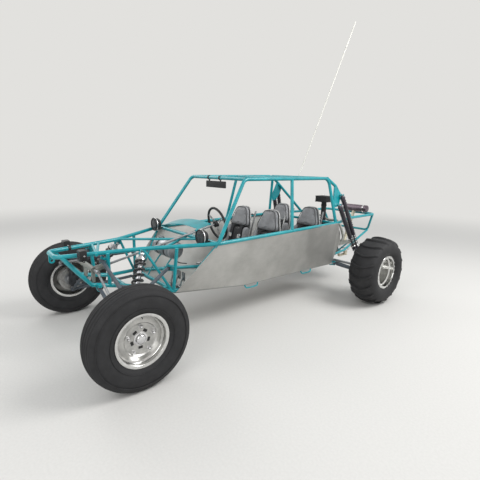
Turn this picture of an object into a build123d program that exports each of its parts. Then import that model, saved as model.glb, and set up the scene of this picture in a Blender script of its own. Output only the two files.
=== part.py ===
from build123d import *
import math
import os

# Four-seat sand buggy with a welded tube frame, as an assembly of named pieces.
# Millimetres, +Z up, nose towards -Y, the vehicle's left side towards +X. The ground is z = 0
# and the origin lies on it, in the middle of the vehicle's length and width.
# Places are given as (x, station, z): a station is measured back from the front axle.
# Left pieces are written out, right ones are their mirror image.

# Wheels and stance
WHEELBASE = 3100
FRONT_WHEEL_X = 912         # centre plane of a front wheel
REAR_WHEEL_X = 1041         # centre plane of a rear wheel
FRONT_TYRE_R = 400
FRONT_TYRE_W = 210
REAR_TYRE_R = 421.5         # over the paddles' tips
REAR_TYRE_W = 350
PADDLE_COUNT = 18
PADDLE_H = 22
PADDLE_T = 20
PADDLE_SWEEP = 70           # how far a paddle's middle lies behind its ends
RIM_R = 190.5               # bead seat of a 15 inch rim
RIM_LIP_R = 208.5
FRONT_RIM_W = 165
REAR_RIM_W = 290
RIM_WALL = 6
# The rear tyres stand on two paddles each, so their axle is a little under one radius high.
FRONT_AXLE_Z = FRONT_TYRE_R
REAR_AXLE_Z = REAR_TYRE_R * math.cos(math.pi / PADDLE_COUNT)

# Tubes of the frame
MAIN_R = 19                 # 38 mm tube
BRACE_R = 16                # 32 mm tube
THIN_R = 12.5               # 25 mm tube
WELD_GAP = 0.3              # between two solids that are welded or bolted together
RUN_GAP = 0.4               # between a turning piece and what carries it
SHEET = 3                   # aluminium sheet of panels, floor and cowl

# Frame nodes (x, station, z)
NOSE_CORNER = (125, -345, 886)
SHOCK_NODE = (268, 324, 900)
POST_NODE = (600, 950, 930)
REAR_NODE = (600, WHEELBASE - 270, 976)
ROOF_FRONT = (490, 1352, 1525)
ROOF_REAR = (490, WHEELBASE - 363, 1533)
CAGE_BEND = (450, WHEELBASE + 270, 990)
CAGE_END = (450, WHEELBASE + 911, 1000)
HOOP_LOW = (350, CAGE_END[1], 745)
TOWER_TOP = (510, WHEELBASE - 235, 1440)
TOWER_FOOT = (556, WHEELBASE - 307, 1200)
LOWER_NOSE = (190, -90, 622)
LOWER_KICK = (200, 195, 562)
LOWER_FRONT = (427, 560, 500)
LOWER_MID = (427, 1400, 405)
LOWER_REAR = (427, WHEELBASE - 120, 400)

TAIL_STATION = CAGE_END[1] + MAIN_R
MIDDLE_STATION = (TAIL_STATION - FRONT_TYRE_R) / 2


def at(x, station, z):
    return Vector(x, station - MIDDLE_STATION, z)


def mirrored(point):
    return (-point[0], point[1], point[2])


def between(a, b, share):
    return tuple(p + (q - p) * share for p, q in zip(a, b))


def rod(a, b, radius, grow=0.0):
    """Straight round bar between two (x, station, z) places."""
    start, end = at(*a), at(*b)
    along = (end - start).normalized()
    length = (end - start).length + 2 * grow
    base = Plane(origin=start - along * grow, z_dir=along)
    return base * Cylinder(radius + grow, length, align=(Align.CENTER, Align.CENTER, Align.MIN))


def bar(points, radius, bends=(), grow=0.0):
    """Round tube along straight runs with tangent bends."""
    if len(points) == 2:
        return rod(points[0], points[1], radius, grow)
    places = [at(*p) for p in points]
    path = FilletPolyline(*places, radius=list(bends))
    section = Plane(origin=path @ 0, z_dir=path % 0) * Circle(radius + grow)
    return sweep(section, path=path)


def box_at(centre, size):
    return Pos(*at(*centre)) * Box(*size)


def flip(shape):
    return mirror(shape, about=Plane.YZ)


def near(a, b, reach=1.0):
    one, two = a.bounding_box(), b.bounding_box()
    return all(p - reach <= q and r - reach <= s for p, q, r, s in (
        (one.min.X, two.max.X, two.min.X, one.max.X),
        (one.min.Y, two.max.Y, two.min.Y, one.max.Y),
        (one.min.Z, two.max.Z, two.min.Z, one.max.Z)))


def largest(shape):
    return max(shape.solids(), key=lambda s: s.volume)


# Every tube of the frame, in the order in which it is welded on: each is coped to those before it.
# Columns: node, sides (2 = left and right), tube radius, bend radii, places.
TUBES = [
    ("top_rails", 1, MAIN_R, (150, 120, 70, 70, 120, 150),
     [REAR_NODE, POST_NODE, SHOCK_NODE, NOSE_CORNER, mirrored(NOSE_CORNER), mirrored(SHOCK_NODE),
      mirrored(POST_NODE), mirrored(REAR_NODE)]),
    ("rear_cage", 1, MAIN_R, (120, 90, 90, 120),
     [REAR_NODE, CAGE_BEND, CAGE_END, mirrored(CAGE_END), mirrored(CAGE_BEND), mirrored(REAR_NODE)]),
    ("roof_hoops", 2, MAIN_R, (90, 90),
     [POST_NODE, ROOF_FRONT, ROOF_REAR, (REAR_NODE[0], REAR_NODE[1] - 27, 978)]),
    ("lower_rails", 2, MAIN_R, (60, 90, 200), [LOWER_NOSE, LOWER_KICK, LOWER_FRONT, LOWER_MID,
                                               LOWER_REAR]),
    ("rear_cage", 1, BRACE_R, (80, 80),
     [between(CAGE_END, CAGE_BEND, 0.1), HOOP_LOW, mirrored(HOOP_LOW),
      mirrored(between(CAGE_END, CAGE_BEND, 0.1))]),
    ("rear_cage", 2, BRACE_R, (60, 90), 
     [LOWER_REAR, (415, WHEELBASE - 40, 492), (360, WHEELBASE + 300, 500), HOOP_LOW]),
    ("roof_bars", 1, MAIN_R, (), [(490, 1370, 1525), (-490, 1370, 1525)]),
    ("roof_bars", 1, MAIN_R, (), [(490, 2060, 1529), (-490, 2060, 1529)]),
    ("roof_bars", 1, MAIN_R, (), 
     [(490, ROOF_REAR[1] - 12, 1533), (-490, ROOF_REAR[1] - 12, 1533)]),
    ("cross_tubes", 1, MAIN_R, (), [POST_NODE, mirrored(POST_NODE)]),
    ("cross_tubes", 1, BRACE_R, (), [LOWER_NOSE, mirrored(LOWER_NOSE)]),
    ("cross_tubes", 1, BRACE_R, (), [(202, 200, 562), (-202, 200, 562)]),
    ("cross_tubes", 1, BRACE_R, (), [(427, 575, 498), (-427, 575, 498)]),
    ("cross_tubes", 1, BRACE_R, (), [(427, 1400, 405), (-427, 1400, 405)]),
    ("cross_tubes", 1, BRACE_R, (), [(427, 2100, 403), (-427, 2100, 403)]),
    ("cross_tubes", 1, BRACE_R, (), 
     [(427, LOWER_REAR[1] - 20, 400), (-427, LOWER_REAR[1] - 20, 400)]),
    ("cross_tubes", 1, BRACE_R, (), 
     [(600, REAR_NODE[1] - 20, 975), (-600, REAR_NODE[1] - 20, 975)]),
    ("cross_tubes", 1, THIN_R, (), [(232, -50, 889), (-250, 60, 893)]),
    ("cross_tubes", 1, THIN_R, (), [(232, -50, 889), (-258, 130, 894)]),
    ("cross_tubes", 1, THIN_R, (), [(-275, 330, 900), (310, 950, 930)]),
    ("cross_tubes", 1, THIN_R, (), [(350, 505, 897), (30, 950, 914)]),
    ("roof_bars", 2, MAIN_R, (), [(600, 1980, 955), (490, 2060, 1529)]),
    ("shock_towers", 2, MAIN_R, (60,), [(490, ROOF_REAR[1] - 22, 1532), TOWER_TOP, CAGE_BEND]),
    ("shock_towers", 2, MAIN_R, (), [TOWER_TOP, TOWER_FOOT]),
    ("front_stays", 2, BRACE_R, (), [(140, -300, 885), LOWER_NOSE]),
    ("front_stays", 2, BRACE_R, (), [(240, 40, 893), (197, 60, 590)]),
    ("front_stays", 2, BRACE_R, (), [(470, 581, 911), (427, 565, 500)]),
    ("front_stays", 2, THIN_R, (), [(285, 345, 900), (420, 550, 504)]),
    ("front_stays", 2, THIN_R, (), [(600, 950, 930), (427, 640, 491)]),
]


def weld_frame():
    """Cope each tube to the tubes before it and gather the solids by node."""
    done, nodes = [], {}
    for node, sides, radius, bends, places in TUBES:
        for side in range(sides):
            route = places if side == 0 else [mirrored(p) for p in places]
            solid = bar(route, radius, bends)
            for other, fat in done:
                if near(solid, fat):
                    solid = solid - fat
            pieces = [s for s in solid.solids() if s.volume > 0.05 * radius ** 3 * math.pi]
            done.append((solid, bar(route, radius, bends, WELD_GAP)))
            nodes.setdefault(node, []).extend(pieces)
    return nodes, [fat for _, fat in done]


# Steering and front suspension
KINGPIN_TOP = (790, 0, 600)
KINGPIN_LOW = (800, 0, 300)
UPPER_SHARE = 1.05          # the arms' bosses along the kingpin, as shares of its length
LOWER_SHARE = -0.05
STUD_R = 8
BOSS_R = 22
SPINDLE_R = 20
STEER_ARM_END = (775, -110, 612)
RACK_Z = 740
RACK_STATION = -55
RACK_R = 11
RACK_HALF = 150
RACK_TRAVEL = 52.5          # each way, at full lock
PINION_X = 150
PINION_CASE_R = 26
SOCKET_R = 18               # ball sockets on the rack bar's ends
SOCKET_HALF = 18
TIE_ROD_R = 10
# The sockets stay 5 mm clear of the pinion's case at full travel.
SOCKET_X = PINION_X + PINION_CASE_R + RACK_TRAVEL + SOCKET_HALF + 5.5
COLUMN_R = 11
STEERING_WHEEL = (255, 1190, 1060)
STEERING_WHEEL_R = 168
ARM_R = 16
UPPER_FRONT_PIVOT = (200, 0, 832)
UPPER_REAR_PIVOT = (400, 532, 722)
LOWER_FRONT_PIVOT = (229, -40, 592)
LOWER_REAR_PIVOT = (300, 505, 480)
SHOCK_TOP = (292, 324, 858)
SHOCK_LOW = (590, 90, 425)
SHOCK_SEAT = (594, 87, 374)   # middle of the lower arm's cross tube

# Rear suspension
HUB_X = 850
CARRIER_R = 62
AXLE_R = 25
REAR_OUTER_PIVOT = (466, WHEELBASE - 65, 385)
REAR_INNER_PIVOT = (138, WHEELBASE + 135, 360)
REAR_LEG_R = 20
REAR_SHOCK_LOW = (690, WHEELBASE + 77, 600)
# Columns: the top eye and how far its lower eye lies from the arm's lug.
REAR_SHOCKS = [((580, WHEELBASE - 222, 1205), -37), ((570, WHEELBASE - 162, 1328), 37)]
CV_R = 42
SHAFT_R = 16
REAR_LEG_ENDS = [(HUB_X - 40, WHEELBASE - 48, REAR_AXLE_Z - 53), (HUB_X - 45, WHEELBASE + 20, REAR_AXLE_Z - 70)]
FLANGE_X = 120
ENGINE_STATION = WHEELBASE + 370

EYE_R = 17
EYE_HALF = 18
BOLT_R = 6
TAB = 5
PLATE_T = 8


def placed(shape, x, station, z):
    return Location(at(x, station, z)) * shape


def eye(centre, axis, half=EYE_HALF, radius=EYE_R):
    """Bushing barrel of a link, along axis, with a hole for its bolt."""
    along = Vector(*axis).normalized()
    middle = at(*centre)
    base = Plane(origin=middle - along * half, z_dir=along)
    low = (Align.CENTER, Align.CENTER, Align.MIN)
    return base * (Cylinder(radius, 2 * half, align=low) - Cylinder(BOLT_R + RUN_GAP, 2 * half, align=low))


def clevis(centre, axis, anchor, half=EYE_HALF, width=34, web_at=30):
    """U bracket from a tube at anchor to an eye: two tabs, their web and the bolt."""
    along = Vector(*axis).normalized()
    middle, foot = at(*centre), at(*anchor)
    reach = foot - middle
    reach = reach - along * reach.dot(along)
    plane = Plane(origin=middle, x_dir=reach.normalized(), z_dir=along)
    outline = Circle(width / 2) + Pos(reach.length / 2, 0) * Rectangle(reach.length, width)
    gap = half + WELD_GAP
    shape = plane * Pos(web_at, 0, 0) * Box(TAB, width, 2 * gap + TAB)
    for start in (gap, -gap - TAB):
        shape = shape + plane * Pos(0, 0, start) * extrude(outline, TAB)
    length = 2 * (gap + TAB) + 12
    bolt = plane * Cylinder(BOLT_R, length)
    head = plane * Pos(0, 0, length / 2) * Cylinder(BOLT_R * 1.7, 6)
    return shape + bolt + head


def square_axis(a, b, toward):
    """Direction nearest to toward that is square to the line from a to b."""
    along = (at(*b) - at(*a)).normalized()
    way = Vector(*toward)
    return tuple((way - along * way.dot(along)).normalized())


def link(a, b, radius, shank_r=10, shank=40):
    """Tube from b to a rod end at a, whose bolt stands as upright as the tube lets it."""
    share = shank / math.dist(a, b)
    shape = rod(between(a, b, (EYE_R - 3) / math.dist(a, b)), between(a, b, share), shank_r)
    return shape + rod(between(a, b, share), b, radius) + eye(a, square_axis(a, b, (0, 0, 1)))


def link_bracket(a, b, anchor):
    return clevis(a, square_axis(a, b, (0, 0, 1)), anchor)


def coped(shape, fats):
    for fat in fats:
        if near(shape, fat):
            shape = shape - fat
    return largest(shape)


def turned(profile_face):
    """Revolve a face drawn as (radius, distance along the axle) and lay its axis along +X."""
    return Rot(0, 90, 0) * revolve(profile_face, Axis.Z)


def profile(points):
    return Plane.XZ * make_face(Polyline(*points, close=True))


def tyre_section(outer, width, rim_width, crown_drop, side_swell):
    """Section of a tyre as (radius, offset): beads against the rim's lips, walls and crown."""
    half = width / 2
    bead_r = RIM_R + WELD_GAP
    lip_r = RIM_LIP_R + 2
    bead = rim_width / 2 - RIM_WALL - WELD_GAP
    low, high = bead, half - side_swell
    belly = bead_r + 0.58 * (outer - bead_r)
    edge = Polyline((lip_r, -low), (bead_r, -low), (bead_r, low), (lip_r, low))
    wall = ThreePointArc((lip_r, low), (belly, half), (outer - crown_drop, high))
    crown = ThreePointArc((outer - crown_drop, high), (outer, 0), (outer - crown_drop, -high))
    back = ThreePointArc((outer - crown_drop, -high), (belly, -half), (lip_r, -low))
    return Plane.XZ * make_face(Wire([*edge.edges(), wall, crown, back]))


def front_tyre():
    return turned(tyre_section(FRONT_TYRE_R, FRONT_TYRE_W, FRONT_RIM_W, 16, 22))


def rear_tyre():
    carcass_r = REAR_TYRE_R - PADDLE_H
    carcass = turned(tyre_section(carcass_r, REAR_TYRE_W, REAR_RIM_W, 34, 30))
    half = REAR_TYRE_W / 2 - 22
    inner = ThreePointArc((-half, 0), (0, PADDLE_SWEEP), (half, 0))
    outer = ThreePointArc((-half, PADDLE_T), (0, PADDLE_SWEEP + PADDLE_T), (half, PADDLE_T))
    band = make_face(Wire([inner, Line((half, 0), (half, PADDLE_T)), outer, Line((-half, PADDLE_T), (-half, 0))]))
    plane = Plane(origin=(0, 0, 0), x_dir=(1, 0, 0), z_dir=(0, 0, 1))
    blank = plane * Pos(0, -PADDLE_SWEEP / 2, carcass_r - 50) * extrude(band, 90)
    reach = turned(tyre_section(REAR_TYRE_R, REAR_TYRE_W + 4, REAR_RIM_W, 36, 20))
    paddle = blank & reach
    pitch = 360 / PADDLE_COUNT
    paddles = [Rot(pitch * (i + 0.5), 0, 0) * paddle for i in range(PADDLE_COUNT)]
    return carcass + paddles


def rim(width, face, dish, vents, cap_r, cap_h):
    """Spun rim: barrel with lips, a dished centre at offset face, vent holes and a cap."""
    half = width / 2
    inner = RIM_R - RIM_WALL
    barrel = turned(profile([(inner, -half), (RIM_LIP_R, -half), (RIM_LIP_R, -half + RIM_WALL),
                             (RIM_R, -half + RIM_WALL), (RIM_R, half - RIM_WALL), (RIM_LIP_R, half - RIM_WALL),
                             (RIM_LIP_R, half), (inner, half)]))
    disc = turned(profile([(0, face), (70, face), (110, face + dish), (inner + 1, face + dish),
                           (inner + 1, face + dish + 8), (106, face + dish + 8), (70, face + 8), (0, face + 8)]))
    cap = Pos(face + 8 + cap_h / 2, 0, 0) * Rot(0, 90, 0) * Cylinder(cap_r, cap_h)
    shape = barrel + disc + cap
    for i in range(vents):
        hole = Pos(face + dish, 0, 0) * Rot(360 / vents * i, 0, 0) * Pos(0, 0, 148) * Rot(0, 90, 0) * Cylinder(16, 60)
        shape = shape - hole
    return shape


FRONT_FACE = 20             # offset of the front rim's centre from the wheel's middle
REAR_FACE = -70             # the rear one lies deep in its bowl
ROTOR_R = 125
ROTOR_T = 10


def hub(face, rotor, stub_r, bore_r, back):
    """Wheel hub with its brake rotor, from offset back to the rim's centre."""
    low = (Align.CENTER, Align.CENTER, Align.MIN)
    turn = Rot(0, 90, 0)
    barrel = Pos(back, 0, 0) * turn * Cylinder(stub_r, face - WELD_GAP - back, align=low)
    flange = Pos(face - WELD_GAP - 12, 0, 0) * turn * Cylinder(65, 12, align=low)
    disc = Pos(rotor, 0, 0) * turn * Cylinder(ROTOR_R, ROTOR_T, align=low)
    shape = barrel + flange + disc
    if bore_r:
        shape = shape - Pos(back, 0, 0) * turn * Cylinder(bore_r, face - back - 25, align=low)
    for i in range(12):
        hole = Rot(30 * i, 0, 0) * Pos(rotor, 0, 100) * turn * Cylinder(7, 4 * ROTOR_T)
        shape = shape - hole
    return shape


def kingpin(share):
    return between(KINGPIN_LOW, KINGPIN_TOP, share)


def knuckle():
    """Left front knuckle: upright, spindle, steering arm, studs and brake caliper."""
    body = rod(kingpin(0.07), kingpin(0.93), 20)
    body = body + box_at((800, 0, 400), (46, 70, 110))
    studs = rod(kingpin(-0.09), kingpin(1.09), STUD_R)
    spindle = rod((800, 0, FRONT_AXLE_Z), (FRONT_WHEEL_X - 14, 0, FRONT_AXLE_Z), SPINDLE_R)
    shoulder = rod((800, 0, FRONT_AXLE_Z), (829, 0, FRONT_AXLE_Z), 33)
    arm = rod(kingpin(0.8), (STEER_ARM_END[0], STEER_ARM_END[1], STEER_ARM_END[2] - 30), 13)
    pad = placed(Cylinder(17, 14), STEER_ARM_END[0], STEER_ARM_END[1], STEER_ARM_END[2] - 27)
    rotor_x = FRONT_WHEEL_X - 77
    slot = box_at((rotor_x + ROTOR_T / 2, 112, FRONT_AXLE_Z), (ROTOR_T + 12, 120, 110))
    caliper = box_at((rotor_x + ROTOR_T / 2, 120, FRONT_AXLE_Z), (58, 62, 100)) - slot
    bridge = box_at((rotor_x + ROTOR_T / 2, 143, FRONT_AXLE_Z), (58, 16, 100))
    stay = box_at((812, 70, FRONT_AXLE_Z), (16, 90, 50))
    return body + studs + spindle + shoulder + arm + pad + caliper + bridge + stay


def a_arm(front, rear, share, radius=ARM_R):
    """Left A-arm from two inner eyes to a boss round the kingpin's stud."""
    low, high = kingpin(share - 0.05), kingpin(share + 0.05)
    middle = kingpin(share)
    shape = link(front, middle, radius) + link(rear, middle, radius)
    shape = shape - rod(kingpin(share - 0.4), kingpin(share + 0.4), BOSS_R - 1)
    boss = rod(low, high, BOSS_R) - rod(kingpin(share - 0.2), kingpin(share + 0.2), STUD_R + RUN_GAP)
    cross = rod(between(front, middle, 0.62), between(rear, middle, 0.62), THIN_R)
    return largest(shape + boss + cross)


def damper(top, low, top_axis, low_axis, body_r, spring_r, coils, wire_r, spring_span):
    """Shock absorber with its spring drawn as rings that touch the body, eyes at both ends."""
    start, end = at(*top), at(*low)
    length = (end - start).length
    frame = Plane(origin=start, z_dir=end - start)
    points = [(0, 10), (12, 10), (12, 30), (body_r, 30), (body_r, length * 0.62), (9, length * 0.62), (9, length - 14),
              (0, length - 14)]
    core = revolve(Plane.XZ * make_face(Polyline(*points, close=True)), Axis.Z)
    first, last = length * spring_span[0], length * spring_span[1]
    seat = Pos(0, 0, last) * Cylinder(spring_r, 8)
    cap = Pos(0, 0, first) * Cylinder(spring_r, 8)
    shape = core + seat + cap
    pitch = (last - first) / coils
    for i in range(coils):
        shape = shape + Pos(0, 0, first + pitch * (i + 0.5)) * Torus(spring_r - wire_r, wire_r)
    web = Pos(0, 0, (first + last) / 2) * Cylinder(spring_r - 1.5 * wire_r, last - first)
    shape = frame * (shape + web)
    return shape + eye(top, top_axis) + eye(low, low_axis)


def tower_plate():
    """Plate between the tower's legs that carries the tops of both rear shocks."""
    lean = (TOWER_FOOT[0] - TOWER_TOP[0]) / (TOWER_TOP[2] - TOWER_FOOT[2])
    corners = [(TOWER_TOP[1], TOWER_TOP[2]), (WHEELBASE - 140, 1352), (WHEELBASE - 142, 1305),
               (WHEELBASE - 207, 1184), (TOWER_FOOT[1] + 20, 1172)]
    places = [at(TOWER_TOP[0] + (TOWER_TOP[2] - z) * lean, station, z) for station, z in corners]
    face = Face(Wire.make_polygon(places))
    plate = extrude(face, PLATE_T / 2, both=True)
    for top, _ in REAR_SHOCKS:
        axis = Vector(*square_axis(top, REAR_SHOCK_LOW, (1, 0, 0)))
        middle = at(*top)
        pin = Plane(origin=middle - axis * 40, z_dir=axis) * Cylinder(BOLT_R, 68, align=(Align.CENTER, Align.CENTER, Align.MIN))
        head = Plane(origin=middle + axis * (EYE_HALF + 4), z_dir=axis) * Cylinder(BOLT_R * 1.7, 7)
        plate = plate + pin + head
    return plate


# Sheet metal
PANEL_LOW_X = 451
PANEL_LOW_Z = 385
PANEL_LEAN = 0.29
PANEL_EDGE = [(952, 932), (REAR_NODE[1] + 2, 978), (LOWER_REAR[1] + 3, 385), (1400, 393), (558, 500)]
PANEL_FIN = (500, WHEELBASE - 15, 705)
FLOOR_HALF = 440
COWL_FRONT = (585, 975, 940)
COWL_RISE = 85
COWL_RUN = 165
COWL_CLIMB = 45


def on_panel(station, z):
    return at(PANEL_LOW_X + (z - PANEL_LOW_Z) * PANEL_LEAN, station, z)


def sheet(points):
    face = Face(Wire.make_polygon(points))
    normal = face.normal_at()
    return extrude(face, SHEET, dir=normal if normal.X < 0 else -normal)


def side_panel():
    flat = sheet([on_panel(*p) for p in PANEL_EDGE])
    top, low = on_panel(*PANEL_EDGE[1]), on_panel(*PANEL_EDGE[2])
    fin = sheet([top, low, at(*PANEL_FIN)])
    return flat + fin


def floor_pan():
    drop = MAIN_R + 0.6
    line = [LOWER_FRONT, LOWER_MID, LOWER_REAR]
    top = [(at(*p).Y, at(*p).Z - drop) for p in line]
    low = [(y, z - SHEET) for y, z in reversed(top)]
    face = Plane.YZ * make_face(Polyline(*top, *low, close=True))
    return extrude(face, FLOOR_HALF, both=True)


def cowl():
    x, station, z = COWL_FRONT
    y = at(*COWL_FRONT).Y
    outer = ThreePointArc((-x, y, z), (0, y, z + COWL_RISE), (x, y, z))
    inner = ThreePointArc((-x, y, z - SHEET), (0, y, z + COWL_RISE - SHEET), (x, y, z - SHEET))
    face = make_face(Wire([outer, Line(outer @ 1, inner @ 1), inner, Line(inner @ 0, outer @ 0)]))
    return extrude(face, amount=COWL_RUN, dir=Vector(0, COWL_RUN, COWL_CLIMB).normalized())


# Tow eyes under the nose and the tail
TOW_HOLE_R = 11
TOW_PLATE_R = 24
TOW_DROP = 50
TOW_T = 10
NOSE_TOW = (0, NOSE_CORNER[1], NOSE_CORNER[2])
TAIL_TOW = (0, HOOP_LOW[1] - 6, HOOP_LOW[2])

# Seats: a base and a leaning back each
SEAT_X = 255
SEAT_W = 400
SEAT_STATIONS = {"front": 1760, "rear": 2490}
SEAT_BASE_Z = 470
BASE_LENGTH = 440
BASE_H = 95
BACK_LEAN = 15
BACK_H = 690
BACK_T = 95
SEAT_FRAME_R = 11
SEAT_LEG_R = 9


def seat_pads(hip):
    """Base and back of one seat whose back starts at station hip."""
    base = box_at((SEAT_X, hip - BASE_LENGTH / 2, SEAT_BASE_Z + BASE_H / 2), (SEAT_W, BASE_LENGTH, BASE_H))
    base = fillet(base.edges().filter_by(Axis.Z), 60)
    back = Pos(0, BACK_T / 2 + 8, BACK_H / 2) * Box(SEAT_W, BACK_T, BACK_H)
    back = fillet(back.edges().filter_by(Axis.Y), 80)
    back = Location(at(SEAT_X, hip + 5, SEAT_BASE_Z + 42)) * Rot(-BACK_LEAN, 0, 0) * back
    return [base, back]


def tow_eye(x, station, z):
    """Plate with a shackle hole, welded under a tube at the place given."""
    plate = extrude(Plane.YZ * (Circle(TOW_PLATE_R) + Pos(0, TOW_DROP / 2) * Rectangle(2 * TOW_PLATE_R, TOW_DROP)), TOW_T / 2,
                    both=True)
    plate = plate - Rot(0, 90, 0) * Cylinder(TOW_HOLE_R, 2 * TOW_T)
    return placed(plate, x, station, z - TOW_DROP)


def floor_top(station):
    """Height of the floor's upper face behind the kick-up."""
    share = (station - LOWER_MID[1]) / (LOWER_REAR[1] - LOWER_MID[1])
    return between(LOWER_MID, LOWER_REAR, share)[2] - MAIN_R - 0.6


def seat_frame(hip):
    """Tube frame under and behind one seat, standing on the floor."""
    half = SEAT_W / 2 - 60
    lean = math.tan(math.radians(BACK_LEAN))
    behind = hip + BACK_T + 50
    under = SEAT_BASE_Z - SEAT_FRAME_R - WELD_GAP
    shape = None
    for side in (-1, 1):
        x = SEAT_X + side * half
        front, heel = (x, hip - BASE_LENGTH + 30, under), (x, behind, under)
        top = (x, behind + lean * 640, under + 640)
        piece = bar([front, heel, top], SEAT_FRAME_R, (50,))
        for station in (hip - BASE_LENGTH + 110, behind - 90):
            piece = piece + rod((x, station, floor_top(station) + WELD_GAP), (x, station, under), SEAT_LEG_R)
        shape = piece if shape is None else shape + piece
    for share in (0.3, 0.93):
        station, z = behind + lean * 640 * share, under + 640 * share
        shape = shape + rod((SEAT_X - half, station, z), (SEAT_X + half, station, z), SEAT_LEG_R)
    return shape + rod((SEAT_X - half, behind - 90, under), (SEAT_X + half, behind - 90, under), SEAT_LEG_R)


PINION = (PINION_X, RACK_STATION + 30, RACK_Z + 12)
COLUMN_LENGTH = math.dist(PINION, STEERING_WHEEL)
WHEEL_BOSS = 35


def column_at(distance):
    """A place on the steering shaft's line, distance ahead of the steering wheel's centre."""
    return between(STEERING_WHEEL, PINION, distance / COLUMN_LENGTH)


def steering_wheel():
    along = at(*STEERING_WHEEL) - at(*PINION)
    plane = Plane(origin=at(*STEERING_WHEEL), x_dir=(1, 0, 0), z_dir=along)
    shape = Torus(STEERING_WHEEL_R, 13)
    shape = shape + Pos(0, 0, (5 - WHEEL_BOSS) / 2) * Cylinder(32, WHEEL_BOSS + 5)
    for i in range(3):
        spoke = Rot(0, 0, 120 * i + 90) * Pos(STEERING_WHEEL_R / 2, 0, -4) * Box(STEERING_WHEEL_R - 4, 26, 5)
        shape = shape + spoke
    return plane * shape


def steering_shaft():
    return rod(column_at(COLUMN_LENGTH - 15), column_at(WHEEL_BOSS + WELD_GAP), COLUMN_R)


def column_bearing():
    """Ring round the shaft on a post from the cowl's cross tube."""
    ahead = COLUMN_LENGTH * (STEERING_WHEEL[1] - POST_NODE[1]) / (STEERING_WHEEL[1] - PINION[1])
    x, station, z = column_at(ahead)
    shape = rod(column_at(ahead - 16), column_at(ahead + 16), COLUMN_R + 9) + rod((x, station, POST_NODE[2]), (x, station, z), 9)
    return shape - rod(column_at(ahead - 60), column_at(ahead + 60), COLUMN_R + RUN_GAP)


def rack_housing():
    half = RACK_HALF
    case = rod((-half, RACK_STATION, RACK_Z), (half, RACK_STATION, RACK_Z), 24)
    tower = rod(column_at(COLUMN_LENGTH + 20), column_at(COLUMN_LENGTH - 60), PINION_CASE_R)
    feet = [box_at((side * 110, RACK_STATION + 5, (RACK_Z + LOWER_NOSE[2]) / 2 - 4),
                   (30, 26, RACK_Z - LOWER_NOSE[2] - 8)) for side in (-1, 1)]
    shape = case + tower + feet[0] + feet[1]
    shape = shape - rod((-300, RACK_STATION, RACK_Z), (300, RACK_STATION, RACK_Z), RACK_R + RUN_GAP)
    return shape - rod(column_at(COLUMN_LENGTH - 10), column_at(COLUMN_LENGTH - 200), COLUMN_R + RUN_GAP)


def tie_rods():
    """Rack bar with a tie rod to each side, whose eye floats just over the steering arm's pad."""
    socket = (SOCKET_X, RACK_STATION, RACK_Z)
    half = rod((0, RACK_STATION, RACK_Z), socket, RACK_R) + rod(socket, STEER_ARM_END, TIE_ROD_R)
    half = half + rod((SOCKET_X - SOCKET_HALF, RACK_STATION, RACK_Z),
                      (SOCKET_X + SOCKET_HALF, RACK_STATION, RACK_Z), SOCKET_R)
    half = half + placed(Cylinder(17, 20), *STEER_ARM_END) + placed(Cylinder(7, 28), *STEER_ARM_END)
    return half + flip(half)


# Rear axle and power
def rear_carrier():
    """Left rear arm: two tubes, the hub's carrier, a shock lug and the brake caliper."""
    shape = link(REAR_OUTER_PIVOT, REAR_LEG_ENDS[0], REAR_LEG_R) + link(REAR_INNER_PIVOT, REAR_LEG_ENDS[1], REAR_LEG_R)
    shape = shape + rod((HUB_X - 70, WHEELBASE, REAR_AXLE_Z), (HUB_X, WHEELBASE, REAR_AXLE_Z), CARRIER_R)
    x, station, z = REAR_SHOCK_LOW
    foot = between(REAR_INNER_PIVOT, REAR_LEG_ENDS[1], 0.78)
    lug = box_at((x, station, z - 25), (34, 28, 84))
    bolt = rod((x, station - 66, z), (x, station + 66, z), BOLT_R)
    shape = shape + rod(foot, (x, station, z - 55), 17) + lug + bolt
    shape = shape + rod((HUB_X - 50, WHEELBASE + 10, REAR_AXLE_Z + 55), (x, station, z - 50), 13)
    bore = rod((HUB_X - 200, WHEELBASE, REAR_AXLE_Z), (HUB_X + 100, WHEELBASE, REAR_AXLE_Z), AXLE_R + RUN_GAP)
    rotor = HUB_X + 22
    caliper = box_at((rotor + 5, WHEELBASE + 120, REAR_AXLE_Z), (58, 62, 100))
    caliper = caliper - box_at((rotor + 5, WHEELBASE + 104, REAR_AXLE_Z), (ROTOR_T + 12, 62, 110))
    stay = box_at((HUB_X - 2, WHEELBASE + 80, REAR_AXLE_Z), (16, 90, 50))
    return shape + caliper + stay - bore


def half_shaft():
    shaft = rod((FLANGE_X + 12, WHEELBASE, REAR_AXLE_Z), (HUB_X - 76, WHEELBASE, REAR_AXLE_Z), SHAFT_R)
    inner = rod((FLANGE_X + RUN_GAP, WHEELBASE, REAR_AXLE_Z), (FLANGE_X + 70, WHEELBASE, REAR_AXLE_Z), CV_R)
    outer = rod((HUB_X - 145, WHEELBASE, REAR_AXLE_Z), (HUB_X - 76, WHEELBASE, REAR_AXLE_Z), CV_R)
    return shaft + inner + outer


def transaxle(grow=0.0):
    case = box_at((0, WHEELBASE + 18, 457), (190 + 2 * grow, 300 + 2 * grow, 145 + 2 * grow))
    belly = box_at((0, WHEELBASE + 40, 360), (190 + 2 * grow, 250 + 2 * grow, 60 + 2 * grow))
    flanges = rod((-FLANGE_X, WHEELBASE, REAR_AXLE_Z), (FLANGE_X, WHEELBASE, REAR_AXLE_Z), 46)
    return case + belly + flanges


def engine_block():
    case = box_at((0, ENGINE_STATION, 500), (300, 400, 240))
    heads = box_at((0, ENGINE_STATION, 540), (640, 330, 150))
    shroud = box_at((0, ENGINE_STATION - 70, 740), (460, 180, 250))
    return case + heads + shroud


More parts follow.
